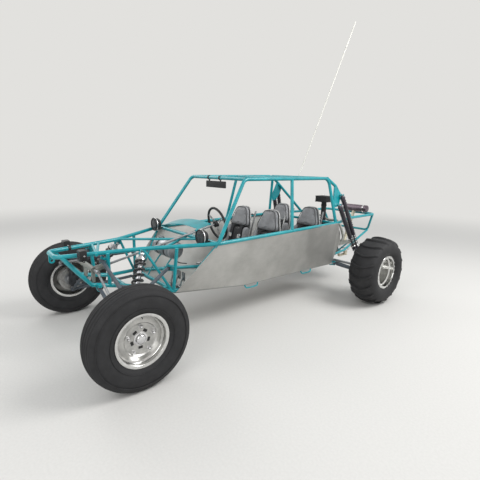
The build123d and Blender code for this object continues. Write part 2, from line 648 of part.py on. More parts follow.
def muffler():
    station = ENGINE_STATION + 430
    can = rod((-60, station, 1075), (380, station, 1075), 55)
    pipe = rod((160, station, 1040), (160, station - 210, 560), 24)
    return can + pipe


def air_cleaner():
    station = ENGINE_STATION - 130
    box = box_at((0, station - 10, 1218), (200, 170, 95))
    pipe = rod((0, station, 1180), (0, station, 865 + WELD_GAP), 38)
    return box + pipe


def round_lamp():
    lamp = rod((470, 822, 985), (470, 905, 985), 75)
    return lamp + rod((470, 890, 960), (470, 945, 935), 9)


def nose_lamp():
    return box_at((243, -165, 905), (85, 60, 92))


def rear_mirror():
    body = box_at((-30, 1375, 1452), (360, 22, 76))
    for x in (-150, 60):
        body = body + rod((x, 1375, 1470), (x, 1371, 1520), 8)
    return body


def whip():
    return rod((0, ROOF_REAR[1] - 2, 1540), (0, ROOF_REAR[1] + 1048, 3711), 8)


def fuel_tank():
    return rod((-230, 760, 800), (150, 760, 800), 90)


def pedals():
    shapes = []
    for x in (200, 290, 380):
        shapes.append(box_at((x, 700, 600), (60, 12, 80)) + rod((x, 700, 600), (x, 660, 500), 8))
    return shapes


def build():
    nodes, fats = weld_frame()

    def pair(shape):
        return [shape, flip(shape)]

    def seated(shape, cutters=fats):
        return [coped(shape, cutters), coped(flip(shape), cutters)]

    nodes["side_panels"] = seated(side_panel())
    nodes["floor_pan"] = [coped(floor_pan(), fats)]
    nodes["dash_cowl"] = [coped(cowl() - rod(column_at(0), column_at(COLUMN_LENGTH / 2), COLUMN_R + 12), fats)]

    axles = [("front", FRONT_WHEEL_X, 0, FRONT_AXLE_Z, front_tyre(), rim(FRONT_RIM_W, FRONT_FACE, 14, 5, 34, 30),
              hub(FRONT_FACE, -77, 42, SPINDLE_R + RUN_GAP, -82)),
             ("rear", REAR_WHEEL_X, WHEELBASE, REAR_AXLE_Z, rear_tyre(), rim(REAR_RIM_W, REAR_FACE, 30, 0, 40, 26),
              hub(REAR_FACE, HUB_X + 22 - REAR_WHEEL_X, AXLE_R, 0, HUB_X - 75 - REAR_WHEEL_X))]
    for axle, x, station, z, tyre, wheel, boss in axles:
        for name, shape in (("tyre", tyre), ("rim", wheel), ("hub", boss)):
            left = placed(shape, x, station, z)
            if axle == "rear" and name == "hub":
                left = left + half_shaft()
            nodes[f"{axle}_left_{name}"] = [left]
            nodes[f"{axle}_right_{name}"] = [flip(left)]
    nodes["left_knuckle"] = [knuckle()]
    nodes["right_knuckle"] = [flip(knuckle())]

    nodes["upper_arms"] = pair(a_arm(UPPER_FRONT_PIVOT, UPPER_REAR_PIVOT, UPPER_SHARE))
    front_shock_axis = square_axis(SHOCK_TOP, SHOCK_LOW, (0, 1, 0))
    shock_seat = clevis(SHOCK_LOW, front_shock_axis, SHOCK_SEAT)
    nodes["lower_arms"] = pair(a_arm(LOWER_FRONT_PIVOT, LOWER_REAR_PIVOT, LOWER_SHARE) + shock_seat)
    nodes["front_coilovers"] = pair(damper(SHOCK_TOP, SHOCK_LOW, front_shock_axis, front_shock_axis, 26, 52, 9, 8, (0.12, 0.8)))
    nodes["rear_arms"] = pair(rear_carrier())
    nodes["rear_shocks"] = []
    for top, aside in REAR_SHOCKS:
        low = (REAR_SHOCK_LOW[0], REAR_SHOCK_LOW[1] + aside, REAR_SHOCK_LOW[2])
        axis = square_axis(top, REAR_SHOCK_LOW, (1, 0, 0))
        nodes["rear_shocks"] += pair(damper(top, low, axis, (0, 1, 0), 26, 32, 16, 5, (0.1, 0.9)))

    cutters = fats + [transaxle(WELD_GAP)] + nodes["side_panels"] + nodes["floor_pan"]
    upper_end, lower_end = kingpin(UPPER_SHARE), kingpin(LOWER_SHARE)
    brackets = [link_bracket(UPPER_FRONT_PIVOT, upper_end, (231, 44, 832)),
                link_bracket(UPPER_REAR_PIVOT, upper_end, (450, 573, 722)),
                link_bracket(LOWER_FRONT_PIVOT, lower_end, (192, -40, 611)),
                link_bracket(LOWER_REAR_PIVOT, lower_end, (300, 575, 498)),
                link_bracket(REAR_OUTER_PIVOT, REAR_LEG_ENDS[0], LOWER_REAR),
                link_bracket(REAR_INNER_PIVOT, REAR_LEG_ENDS[1], (60, REAR_INNER_PIVOT[1], 360)),
                clevis(SHOCK_TOP, front_shock_axis, SHOCK_NODE),
                tower_plate()]
    nodes["link_brackets"] = [piece for bracket in brackets for piece in seated(bracket, cutters)]
    nodes["link_brackets"].append(coped(column_bearing(), fats))
    nodes["tow_eyes"] = [coped(tow_eye(*place), fats) for place in (NOSE_TOW, TAIL_TOW)]

    nodes["steering_wheel"] = [steering_wheel()]
    nodes["steering_shaft"] = [steering_shaft()]
    nodes["rack_housing"] = [coped(rack_housing(), fats)]
    nodes["tie_rods"] = [tie_rods()]
    nodes["seat_pads"], nodes["seat_frames"] = [], []
    for hip in SEAT_STATIONS.values():
        for pad in seat_pads(hip):
            nodes["seat_pads"] += pair(pad)
        nodes["seat_frames"] += pair(seat_frame(hip))
    nodes["transaxle"] = [coped(transaxle(), fats)]
    nodes["engine_block"] = [engine_block()]
    nodes["muffler"] = [coped(muffler(), fats)]
    nodes["air_cleaner"] = [air_cleaner()]
    nodes["lamps"] = seated(round_lamp()) + seated(nose_lamp())
    nodes["rear_mirror"] = [coped(rear_mirror(), fats)]
    nodes["whip"] = [coped(whip(), fats)]
    nodes["fuel_tank"] = [coped(fuel_tank(), fats)]
    nodes["pedals"] = pedals()
    return nodes


if __name__ == "__main__":
    os.makedirs("parts", exist_ok=True)
    for name, pieces in build().items():
        export_step(Compound(children=pieces) if len(pieces) > 1 else pieces[0], f"parts/{name}.step")
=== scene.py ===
"""Four-seat sand buggy: finishes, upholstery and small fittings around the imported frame.

Metres, +Z up, nose towards -Y, the vehicle's left towards +X. place() takes millimetres as
(x, station, z), where a station is measured back from the front axle.
"""
import math

import bmesh
import bpy
from mathutils import Matrix, Vector


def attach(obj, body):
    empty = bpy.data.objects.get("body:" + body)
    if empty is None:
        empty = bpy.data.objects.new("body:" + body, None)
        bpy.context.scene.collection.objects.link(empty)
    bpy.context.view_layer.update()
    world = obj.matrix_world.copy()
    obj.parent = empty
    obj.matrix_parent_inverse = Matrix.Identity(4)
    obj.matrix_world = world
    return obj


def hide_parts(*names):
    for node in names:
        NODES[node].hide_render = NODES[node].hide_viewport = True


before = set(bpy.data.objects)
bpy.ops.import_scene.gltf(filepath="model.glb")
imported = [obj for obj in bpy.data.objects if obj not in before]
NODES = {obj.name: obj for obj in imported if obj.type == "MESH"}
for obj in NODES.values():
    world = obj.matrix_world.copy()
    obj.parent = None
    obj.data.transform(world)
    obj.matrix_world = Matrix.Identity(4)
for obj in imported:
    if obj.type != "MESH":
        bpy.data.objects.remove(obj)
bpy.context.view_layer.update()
MIDDLE_STATION = 1815       # from the front axle to the frame's origin
MM = 0.001


def place(x, station, z):
    return Vector((x, station - MIDDLE_STATION, z)) * MM


# Camera, floor and light
CAMERA_AT = (3.208, -2.801, 1.626)
CAMERA_YAW = -49.82         # degrees from +Y, positive towards +X
CAMERA_PITCH = 11.4         # downwards
CAMERA_ROLL = 1.26
FOCAL_PX = 352.15
FRAME_PX = 480
SENSOR_MM = 36


def set_camera():
    yaw, pitch, roll = (math.radians(v) for v in (CAMERA_YAW, CAMERA_PITCH, CAMERA_ROLL))
    ahead = Vector((math.sin(yaw) * math.cos(pitch), math.cos(yaw) * math.cos(pitch), -math.sin(pitch)))
    right = Vector((math.cos(yaw), -math.sin(yaw), 0))
    up = right.cross(ahead)
    turned_right = right * math.cos(roll) + up * math.sin(roll)
    turned_up = up * math.cos(roll) - right * math.sin(roll)
    data = bpy.data.cameras.new("camera")
    data.sensor_width = SENSOR_MM
    data.lens = FOCAL_PX / FRAME_PX * SENSOR_MM
    camera = bpy.data.objects.new("camera", data)
    bpy.context.collection.objects.link(camera)
    turn = Matrix((turned_right, turned_up, -ahead)).transposed().to_4x4()
    camera.matrix_world = Matrix.Translation(CAMERA_AT) @ turn
    bpy.context.scene.camera = camera


def linear(colour):
    """Linear RGBA of an sRGB hex colour such as #10a3ac."""
    values = [int(colour[i:i + 2], 16) / 255 for i in (1, 3, 5)]
    return tuple(v / 12.92 if v <= 0.04045 else ((v + 0.055) / 1.055) ** 2.4 for v in values) + (1.0,)


def add(tree, kind, settings=None, **links):
    """Add a shader node. Settings name its properties or input sockets; a link may be a socket."""
    node = tree.nodes.new("ShaderNode" + kind)
    for name, value in (settings or {}).items():
        if isinstance(name, int) or name in node.inputs:
            if isinstance(value, bpy.types.NodeSocket):
                tree.links.new(value, node.inputs[name])
            else:
                node.inputs[name].default_value = value
        else:
            setattr(node, name, value)
    for name, value in links.items():
        tree.links.new(value, node.inputs[name])
    return node


def begin(name, **surface):
    """A new material with its Principled shader and object coordinates in metres."""
    material = bpy.data.materials.new(name)
    material.use_nodes = True
    tree = material.node_tree
    tree.nodes.clear()
    output = add(tree, "OutputMaterial")
    shader = add(tree, "BsdfPrincipled", {k.replace("_", " "): v for k, v in surface.items()})
    tree.links.new(shader.outputs[0], output.inputs[0])
    return material, tree, shader, add(tree, "TexCoord").outputs["Object"]


def ramp(tree, value, stops):
    """Colours along a value: stops are (position, hex colour)."""
    node = add(tree, "ValToRGB", Fac=value)
    while len(node.color_ramp.elements) < len(stops):
        node.color_ramp.elements.new(0.5)
    for element, (position, colour) in zip(node.color_ramp.elements, stops):
        element.position = position
        element.color = linear(colour)
    return node.outputs["Color"]


def dress(tree, shader, **sockets):
    """Link sockets to the shader's inputs; an underscore in a name stands for a space."""
    for name, socket in sockets.items():
        tree.links.new(socket, shader.inputs[name.replace("_", " ")])


BACKDROP = "#e2e1de"


def seen_rays(tree):
    """1 for what is seen directly, in gloss or through glass, and 0 for the rays that only light."""
    path = add(tree, "LightPath")
    direct = add(tree, "Math", {"operation": "MAXIMUM", 0: path.outputs["Is Camera Ray"],
                                1: path.outputs["Is Glossy Ray"]})
    return add(tree, "Math", {"operation": "MAXIMUM", 0: direct.outputs[0],
                              1: path.outputs["Is Transmission Ray"]})


def set_world():
    scene = bpy.context.scene
    scene.view_settings.view_transform = "Standard"
    world = bpy.data.worlds.new("studio")
    world.use_nodes = True
    scene.world = world
    tree = world.node_tree
    tree.nodes.clear()
    seen = seen_rays(tree)
    lit = add(tree, "Background", {"Color": linear("#e4e7ea"), "Strength": 0.80})
    shown = add(tree, "Background", {"Color": linear(BACKDROP), "Strength": 1.0})
    mix = add(tree, "MixShader", {0: seen.outputs[0], 1: lit.outputs[0], 2: shown.outputs[0]})
    output = add(tree, "OutputWorld")
    tree.links.new(mix.outputs[0], output.inputs[0])


def set_lights():
    """Soft key from behind the tail's left, a broad fill from the camera's side and a low rim."""
    # Columns: name, place, aim, size (m), power (W)
    for name, spot, aim, size, power in (
            ("key", (4.5, 3.0, 6.0), (0, 0, 0.6), 3.5, 380),
            ("fill", (3.3, -6.6, 4.4), (0, -0.5, 0.6), 5.0, 180),
            ("far_rim", (-5.0, -2.0, 4.6), (0, 0, 0.8), 3.5, 110)):
        data = bpy.data.lights.new(name, "AREA")
        data.size = size
        data.energy = power
        lamp = bpy.data.objects.new(name, data)
        bpy.context.collection.objects.link(lamp)
        lamp.location = spot
        lamp.rotation_euler = (Vector(aim) - Vector(spot)).to_track_quat("-Z", "Y").to_euler()

FLOOR_HALF = 30             # metres, as is the fade
FADE_FROM = 4.5
FADE_TO = 13.0


def make_floor():
    """Pale floor that fades into the backdrop far from the buggy, for what is seen directly only."""
    mesh = bpy.data.meshes.new("floor")
    corners = [(x * FLOOR_HALF, y * FLOOR_HALF, 0) for x, y in ((-1, -1), (1, -1), (1, 1), (-1, 1))]
    mesh.from_pydata(corners, [], [(0, 1, 2, 3)])
    floor = bpy.data.objects.new("floor", mesh)
    bpy.context.collection.objects.link(floor)
    material, tree, shader, where = begin("pale_concrete", Roughness=0.9)
    grain = add(tree, "TexNoise", {"Scale": 60.0, "Detail": 4.0}, Vector=where)
    dress(tree, shader, Base_Color=ramp(tree, grain.outputs["Fac"], [(0.3, "#cfcdc9"), (0.7, "#d4d2ce")]))
    away = add(tree, "VectorMath", {"operation": "LENGTH"}, Vector=where)
    far = add(tree, "MapRange", {"From Min": FADE_FROM, "From Max": FADE_TO,
                                 "interpolation_type": "SMOOTHSTEP"},
              Value=away.outputs["Value"])
    share = add(tree, "Math", {"operation": "MULTIPLY", 0: far.outputs[0], 1: seen_rays(tree).outputs[0]})
    haze = add(tree, "Emission", {"Color": linear(BACKDROP)})
    blend = add(tree, "MixShader", {0: share.outputs[0], 1: shader.outputs[0], 2: haze.outputs[0]})
    out = next(node for node in tree.nodes if node.type == "OUTPUT_MATERIAL")
    tree.links.new(blend.outputs[0], out.inputs["Surface"])
    mesh.materials.append(material)


set_camera()
set_world()
set_lights()
make_floor()


# Materials
def teal_powder_coat():
    """Baked powder coat over steel tube: an even, slightly pebbled gloss with dust on it."""
    material, tree, shader, where = begin("teal_powder_coat", Roughness=0.32, Coat_Weight=0.25,
                                          Coat_Roughness=0.18)
    cloud = add(tree, "TexNoise", {"Scale": 9.0, "Detail": 5.0}, Vector=where)
    colour = ramp(tree, cloud.outputs["Fac"], [(0.3, "#02868f"), (0.55, "#04939c"), (0.8, "#109fa6")])
    # Orange peel of powder coat is about 1 mm across.
    peel = add(tree, "TexNoise", {"Scale": 900.0, "Detail": 2.0}, Vector=where)
    bump = add(tree, "Bump", {"Strength": 0.12, "Distance": 0.0004}, Height=peel.outputs["Fac"])
    dress(tree, shader, Base_Color=colour, Normal=bump.outputs[0])
    return material


def mill_sheet():
    """Bare rolled aluminium sheet: dull, faintly streaked along the rolling, with smudges and scuffs."""
    material, tree, shader, where = begin("mill_finish_aluminium", Metallic=0.5)
    stretch = add(tree, "Mapping", {"Scale": (1.0, 0.35, 14.0)}, Vector=where)
    streak = add(tree, "TexNoise", {"Scale": 26.0, "Detail": 7.0, "Roughness": 0.7},
                 Vector=stretch.outputs[0])
    smudge = add(tree, "TexNoise", {"Scale": 2.6, "Detail": 6.0, "Roughness": 0.6}, Vector=where)
    blend = add(tree, "Math", {"operation": "MULTIPLY_ADD", 0: streak.outputs["Fac"], 1: 0.35,
                               2: smudge.outputs["Fac"]})
    colour = ramp(tree, blend.outputs[0], [(0.5, "#a3a29e"), (0.68, "#b2b1ad"), (0.85, "#bfbeba")])
    rough = add(tree, "MapRange", {"From Min": 0.4, "From Max": 0.8, "To Min": 0.42, "To Max": 0.62},
                Value=blend.outputs[0])
    dent = add(tree, "TexNoise", {"Scale": 2.2, "Detail": 2.0}, Vector=where)
    wave = add(tree, "Bump", {"Strength": 0.5, "Distance": 0.004}, Height=dent.outputs["Fac"])
    fine = add(tree, "Bump", {"Strength": 0.15, "Distance": 0.0003}, Height=streak.outputs["Fac"],
               Normal=wave.outputs[0])
    dress(tree, shader, Base_Color=colour, Roughness=rough.outputs[0], Normal=fine.outputs[0])
    return material


def tyre_rubber():
    """Vulcanised rubber that has stood outdoors: nearly black with a grey dusty bloom."""
    material, tree, shader, where = begin("weathered_tyre_rubber", Roughness=0.7)
    dust = add(tree, "TexNoise", {"Scale": 14.0, "Detail": 8.0, "Roughness": 0.65}, Vector=where)
    colour = ramp(tree, dust.outputs["Fac"], [(0.35, "#19191b"), (0.6, "#222224"), (0.82, "#2e2d2d")])
    grain = add(tree, "TexNoise", {"Scale": 420.0, "Detail": 3.0}, Vector=where)
    bump = add(tree, "Bump", {"Strength": 0.25, "Distance": 0.0006}, Height=grain.outputs["Fac"])
    dress(tree, shader, Base_Color=colour, Normal=bump.outputs[0])
    return material


def spun_aluminium(name, dark, light, low, high):
    """Aluminium spun on a lathe: rings of fine tool marks about the axle, brighter on the lip."""
    material, tree, shader, where = begin(name, Metallic=1.0, Anisotropic=0.4)
    rings = add(tree, "TexWave", {"wave_type": "RINGS", "rings_direction": "X", "Scale": 90.0,
                                  "Distortion": 0.6, "Detail": 3.0}, Vector=where)
    haze = add(tree, "TexNoise", {"Scale": 16.0, "Detail": 6.0, "Roughness": 0.7}, Vector=where)
    rough = add(tree, "MapRange", {"From Min": 0.3, "From Max": 0.75, "To Min": low, "To Max": high},
                Value=haze.outputs["Fac"])
    bump = add(tree, "Bump", {"Strength": 0.08, "Distance": 0.0003}, Height=rings.outputs["Fac"])
    dress(tree, shader, Base_Color=ramp(tree, haze.outputs["Fac"], [(0.35, dark), (0.7, light)]),
          Roughness=rough.outputs[0], Normal=bump.outputs[0])
    return material


def mottled(name, dark, light, metallic, low, high, scale=18.0, grain=500.0, depth=0.0003, **surface):
    """A plain finish with cloudy colour and a fine grain, sizes in features per metre."""
    material, tree, shader, where = begin(name, Metallic=metallic, **surface)
    cloud = add(tree, "TexNoise", {"Scale": scale, "Detail": 6.0, "Roughness": 0.62}, Vector=where)
    rough = add(tree, "MapRange", {"From Min": 0.3, "From Max": 0.7, "To Min": low, "To Max": high},
                Value=cloud.outputs["Fac"])
    fine = add(tree, "TexNoise", {"Scale": grain, "Detail": 3.0}, Vector=where)
    bump = add(tree, "Bump", {"Strength": 0.2, "Distance": depth}, Height=fine.outputs["Fac"])
    dress(tree, shader, Base_Color=ramp(tree, cloud.outputs["Fac"], [(0.34, dark), (0.68, light)]),
          Roughness=rough.outputs[0], Normal=bump.outputs[0])
    return material


TEAL = teal_powder_coat()
SHEET = mill_sheet()
RUBBER = tyre_rubber()
# Mirror-like rims with soft rings, and their duller centres.
POLISHED = spun_aluminium("polished_spun_aluminium", "#c9c9c8", "#e6e6e4", 0.12, 0.26)
SATIN = spun_aluminium("satin_spun_aluminium", "#a9a9a7", "#cfcecb", 0.3, 0.48)
# Zinc-plated and machined steel: a grey sheen with oil film and dust in the corners.
STEEL = mottled("machined_steel", "#888a8d", "#b3b5b7", 0.85, 0.3, 0.48)
# Brushed enamel on the arms: a dark blue grey with a low sheen.
ARM_PAINT = mottled("dark_blue_grey_enamel", "#3c4249", "#545c65", 0.15, 0.35, 0.5, Coat_Weight=0.2)
# Raw castings: coarse, flat grey with no clear highlight.
CAST = mottled("sand_cast_aluminium", "#86877f", "#a9a9a5", 0.6, 0.5, 0.7, scale=30.0, grain=300.0,
               depth=0.001)
# Steel that heat has turned to a dusky mauve, still metallic.
MUFFLER = mottled("heat_stained_steel", "#655a63", "#8d8189", 0.85, 0.35, 0.55, scale=9.0)
# Moulded plastic: soft black with a broad, weak highlight.
BLACK_PLASTIC = mottled("moulded_black_abs", "#141415", "#202022", 0.0, 0.45, 0.62, grain=900.0)
# Dipped enamel on springs: deep black with a wet edge along the wire.
BLACK_STEEL = mottled("black_spring_enamel", "#121214", "#242428", 0.1, 0.28, 0.42, Coat_Weight=0.4)
# Sprayed silver: pale and even, duller than bare metal.
SILVER_PAINT = mottled("silver_enamel", "#8d8d8e", "#b5b5b4", 0.6, 0.3, 0.45)
# Spun sheet: cool grey that mirrors only broad light.
TANK = mottled("spun_tank_aluminium", "#8f9195", "#b4b6b9", 0.8, 0.32, 0.48)
# Gelcoat: an off-white line with a faint gloss.
WHIP = mottled("glass_fibre_gelcoat", "#cfcdc4", "#e3e1da", 0.0, 0.3, 0.45)
# Plating: bright, nearly clear reflections on small parts.
CHROME = mottled("bright_chrome_plate", "#c8c8ca", "#ededee", 1.0, 0.06, 0.16)
# Seat vinyl, grained like leather: grey on bolsters, black on the fluted pads.
GREY_VINYL = mottled("grey_expanded_vinyl", "#7a7a7c", "#949496", 0.0, 0.42, 0.6, scale=12.0, grain=650.0,
                     depth=0.0008)
BLACK_VINYL = mottled("black_expanded_vinyl", "#1b1b1d", "#2c2c2f", 0.0, 0.36, 0.52, scale=12.0, grain=650.0,
                      depth=0.0008)
# Enamel of the rear dampers: nearly black, purple where light grazes it.
PURPLE_STEEL = mottled("dark_purple_grey_enamel", "#2c2730", "#453f4b", 0.2, 0.35, 0.5, Coat_Weight=0.2)

CORNERS = ("front_left", "front_right", "rear_left", "rear_right")
FINISH = {
    TEAL: ["top_rails", "rear_cage", "roof_hoops", "lower_rails", "roof_bars", "cross_tubes", "shock_towers",
           "front_stays", "tow_eyes", "dash_cowl", "link_brackets"],
    SHEET: ["side_panels", "floor_pan"],
    RUBBER: [corner + "_tyre" for corner in CORNERS],
    POLISHED: [corner + "_rim" for corner in CORNERS],
    STEEL: ["left_knuckle", "right_knuckle", "tie_rods", "steering_shaft",
            *(corner + "_hub" for corner in CORNERS)],
    ARM_PAINT: ["upper_arms", "lower_arms", "rear_arms"],
    CHROME: ["front_coilovers"],
    PURPLE_STEEL: ["rear_shocks"],
    GREY_VINYL: ["seat_pads"],
    SILVER_PAINT: ["seat_frames"],
    CAST: ["transaxle", "rack_housing", "engine_block"],
    MUFFLER: ["muffler"],
    BLACK_PLASTIC: ["air_cleaner", "lamps", "rear_mirror", "steering_wheel", "pedals"],
    TANK: ["fuel_tank"],
    WHIP: ["whip"],
}


def finish_nodes():
    for material, names in FINISH.items():
        for name in names:
            data = NODES[name].data
            data.materials.clear()
            data.materials.append(material)


finish_nodes()


# Pieces and shapes
def piece(name, form, body, slot, *materials, smooth=40, instead=()):
    """Link a mesh or Shape as a piece of the buggy that rides on a body and may stand for nodes."""
    mesh = form.mesh(name) if isinstance(form, Shape) else form
    made = bpy.data.objects.new(name, mesh)
    bpy.context.collection.objects.link(made)
    for material in materials:
        mesh.materials.append(material)
    mesh.shade_smooth()
    mesh.set_sharp_from_angle(angle=math.radians(smooth))
    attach(made, body)
    if instead:
        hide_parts(*instead)
    return made

# Angles and rings about the X axis, round which most parts are drawn
def turns(count, offset=0.0):
    """Angles of evenly spaced places round a circle."""
    return [2 * math.pi * (k + offset) / count for k in range(count)]


def ring(x, radius, count):
    """Points of a circle about the X axis."""
    return [(x, radius * math.cos(a), radius * math.sin(a)) for a in turns(count)]


def round_axle(radius, angle):
    """Transform that moves a part out from the X axis at an angle."""
    return Matrix.Translation((0, radius * math.cos(angle), radius * math.sin(angle)))


def bend(a, b, c, d, t):
    """Point between b and c of an even curve through four places."""
    return 0.5 * (2 * b + (c - a) * t + (2 * a - 5 * b + 4 * c - d) * t * t
                  + (3 * b - a - 3 * c + d) * t * t * t)


def smooth_run(points, steps=8):
    """Evenly bent line through a few places, for pipes and hoses that follow the pieces they join."""
    points = [Vector(p) for p in points]
    line = []
    for k in range(len(points) - 1):
        four = [points[max(k - 1, 0)], points[k], points[k + 1], points[min(k + 2, len(points) - 1)]]
        for step in range(steps + (1 if k == len(points) - 2 else 0)):
            line.append(bend(*four, step / steps))
    return line


class Shape:
    """Gathers the faces of one mesh from simple parts, each with its material's number."""

    def __init__(self):
        self.verts = []
        self.faces = []
        self.kinds = []

    def put(self, verts, faces, kind=0, turn=None):
        start = len(self.verts)
        self.verts += [tuple(turn @ Vector(v)) if turn else tuple(v) for v in verts]
        self.faces += [tuple(start + i for i in face) for face in faces]
        self.kinds += [kind] * len(faces)

    def join(self, part, turn):
        """Take in another shape's faces with their own materials."""
        self.put(part.verts, part.faces, 0, turn)
        self.kinds[-len(part.kinds):] = part.kinds

    def grid(self, rows, closed_column=False, kind=0, turn=None, caps=False):
        """Faces between neighbouring closed rows of points."""
        count = len(rows[0])
        faces = []
        for i in range(len(rows) - (0 if closed_column else 1)):
            j = (i + 1) % len(rows)
            for k in range(count):
                m = (k + 1) % count
                faces.append((i * count + k, i * count + m, j * count + m, j * count + k))
        if caps:
            faces.append(tuple(reversed(range(count))))
            faces.append(tuple(range((len(rows) - 1) * count, len(rows) * count)))
        self.put([v for row in rows for v in row], faces, kind, turn)

    def lathe(self, outline, segments=64, kind=0, turn=None, closed=False):
        """Turn an outline of (distance along X, radius) about the X axis."""
        rows = [ring(x, radius, segments) for x, radius in outline]
        self.grid(rows, closed_column=closed, kind=kind, turn=turn, caps=not closed)

    def band(self, low, high, inner, outer, **more):
        """Flat ring between two distances along X."""
        self.lathe([(low, inner), (low, outer), (high, outer), (high, inner)], closed=True, **more)

    def pin(self, turn, half, radius, edge, drop, **more):
        """Cylinder about its own middle with both edges chamfered."""
        self.lathe([(-half, radius - drop), (edge - half, radius), (half - edge, radius),
                    (half, radius - drop)],
                   turn=turn, **more)

    def screw(self, turn, radius, low, high, kind, edge=0.001, drop=0.002):
        """Hexagon head with a chamfered face."""
        self.lathe([(low, radius), (high - edge, radius), (high, radius - drop)], segments=6, kind=kind,
                   turn=turn)

    def tube(self, points, radius, sides=12, kind=0, turn=None, closed=False):
        """Sweep a round section along points."""
        points = [Vector(p) for p in points]
        count = len(points)
        ways = []
        for i in range(count):
            before = points[i - 1] if i or closed else points[0]
            after = points[(i + 1) % count] if i < count - 1 or closed else points[-1]
            ways.append((after - before).normalized())
        side = ways[0].orthogonal().normalized()
        rows = []
        for point, way in zip(points, ways):
            side = (side - way * side.dot(way)).normalized()
            other = way.cross(side)
            rows.append([tuple(point + side * (radius * math.cos(a)) + other * (radius * math.sin(a)))
                         for a in turns(sides)])
        self.grid(rows, closed_column=closed, kind=kind, turn=turn, caps=not closed)

    def rod(self, places, radius, mirror=1, **more):
        """Straight-sided tube through places in the buggy's own frame, in mm."""
        self.tube([place(mirror * x, station, z) for x, station, z in places], radius, **more)

    def pipe(self, places, radius, mirror=1, **more):
        """Evenly bent tube through places in the buggy's own frame, in mm."""
        self.tube(smooth_run([place(mirror * x, station, z) for x, station, z in places]), radius, **more)

    def slab(self, across, along, heights, mirror=1, **more):
        """Block between two distances across, two stations and two heights, in mm."""
        x0, x1 = sorted((mirror * across[0], mirror * across[1]))
        self.block(place(x0, along[0], heights[0]), place(x1, along[1], heights[1]), **more)

    def block(self, low, high, kind=0, turn=None, bevel=0.0):
        """Box with chamfered edges."""
        bm = bmesh.new()
        bmesh.ops.create_cube(bm, size=1.0)
        for v in bm.verts:
            v.co = Vector([l + (h - l) * (c + 0.5) for l, h, c in zip(low, high, v.co)])
        if bevel:
            bmesh.ops.bevel(bm, geom=bm.edges[:], offset=bevel, segments=2, affect="EDGES", profile=0.7)
        bm.verts.index_update()
        self.put([v.co[:] for v in bm.verts], [[v.index for v in f.verts] for f in bm.faces], kind, turn)
        bm.free()

    def mesh(self, name, mirror=False):
        data = bpy.data.meshes.new(name)
        verts = [(-x, y, z) for x, y, z in self.verts] if mirror else self.verts
        faces = [tuple(reversed(f)) for f in self.faces] if mirror else self.faces
        data.from_pydata(verts, [], faces)
        data.polygons.foreach_set("material_index", self.kinds)
        bm = bmesh.new()
        bm.from_mesh(data)
        bmesh.ops.recalc_face_normals(bm, faces=bm.faces)
        bm.to_mesh(data)
        bm.free()
        data.update()
        return data


def stand(origin, along, across=None):
    """Transform that lays local X along a direction at an origin, both in metres."""
    along = Vector(along).normalized()
    across = Vector(across) if across else along.orthogonal()
    across = (across - along * across.dot(along)).normalized()
    return Matrix.Translation(origin) @ Matrix((along, across, along.cross(across))).transposed().to_4x4()


def at(x, station, z, along=(1, 0, 0)):
    """Transform that lays local X along a direction at a place in the buggy's own frame, in mm."""
    return stand(place(x, station, z), along)


def arc_through(a, b, c, steps):
    """Points of the circle through three (x, r) places, from a to c."""
    (ax, ay), (bx, by), (cx, cy) = a, b, c
    d = 2 * (ax * (by - cy) + bx * (cy - ay) + cx * (ay - by))
    aa, bb, cc = (x * x + y * y for x, y in (a, b, c))
    ux = (aa * (by - cy) + bb * (cy - ay) + cc * (ay - by)) / d
    uy = (aa * (cx - bx) + bb * (ax - cx) + cc * (bx - ax)) / d
    radius = math.hypot(ax - ux, ay - uy)
    start, middle, end = (math.atan2(y - uy, x - ux) for x, y in (a, b, c))
    turn = (end - start) % (2 * math.pi)
    if (middle - start) % (2 * math.pi) > turn:
        turn -= 2 * math.pi
    return [(ux + radius * math.cos(start + turn * k / steps),
             uy + radius * math.sin(start + turn * k / steps))
            for k in range(steps + 1)]


# Wheels, in metres about their own centre with the axle along X and +X outboard
WHEELBASE = 3100
FRONT_WHEEL = (912, 0, 400)
FRONT_TYRE_R = 0.400
FRONT_TYRE_W = 0.210
FRONT_RIBS = (0.0, 0.030, 0.058, 0.080)  # distances of the rings from the middle
FRONT_RIB_H = 0.006
REAR_TYRE_R = 0.4215
REAR_TYRE_W = 0.350
PADDLE_COUNT = 18
REAR_WHEEL = (1041, WHEELBASE, REAR_TYRE_R * math.cos(math.pi / PADDLE_COUNT) / MM)
RIM_R = 0.1905
LIP_R = 0.2085
FRONT_RIM_W = 0.165
REAR_RIM_W = 0.290
RIM_WALL = 0.006
LUG_CIRCLE = 0.1025          # radius of the circle of five nuts
VENT_CIRCLE = 0.067


def both_sides(name, shape, centre, body, slot, materials, node="", smooth=40):
    """One piece for each side from a left-hand shape; {} in body and node is left or right."""
    for side, sign in (("left", 1), ("right", -1)):
        mesh = shape.mesh(f"{name}_{side}", mirror=sign < 0)
        mesh.transform(Matrix.Translation(place(sign * centre[0], centre[1], centre[2])))
        piece(f"{name}_{side}", mesh, body.format(side), slot, *materials, smooth=smooth,
              instead=[node.format(side)] if node else [])


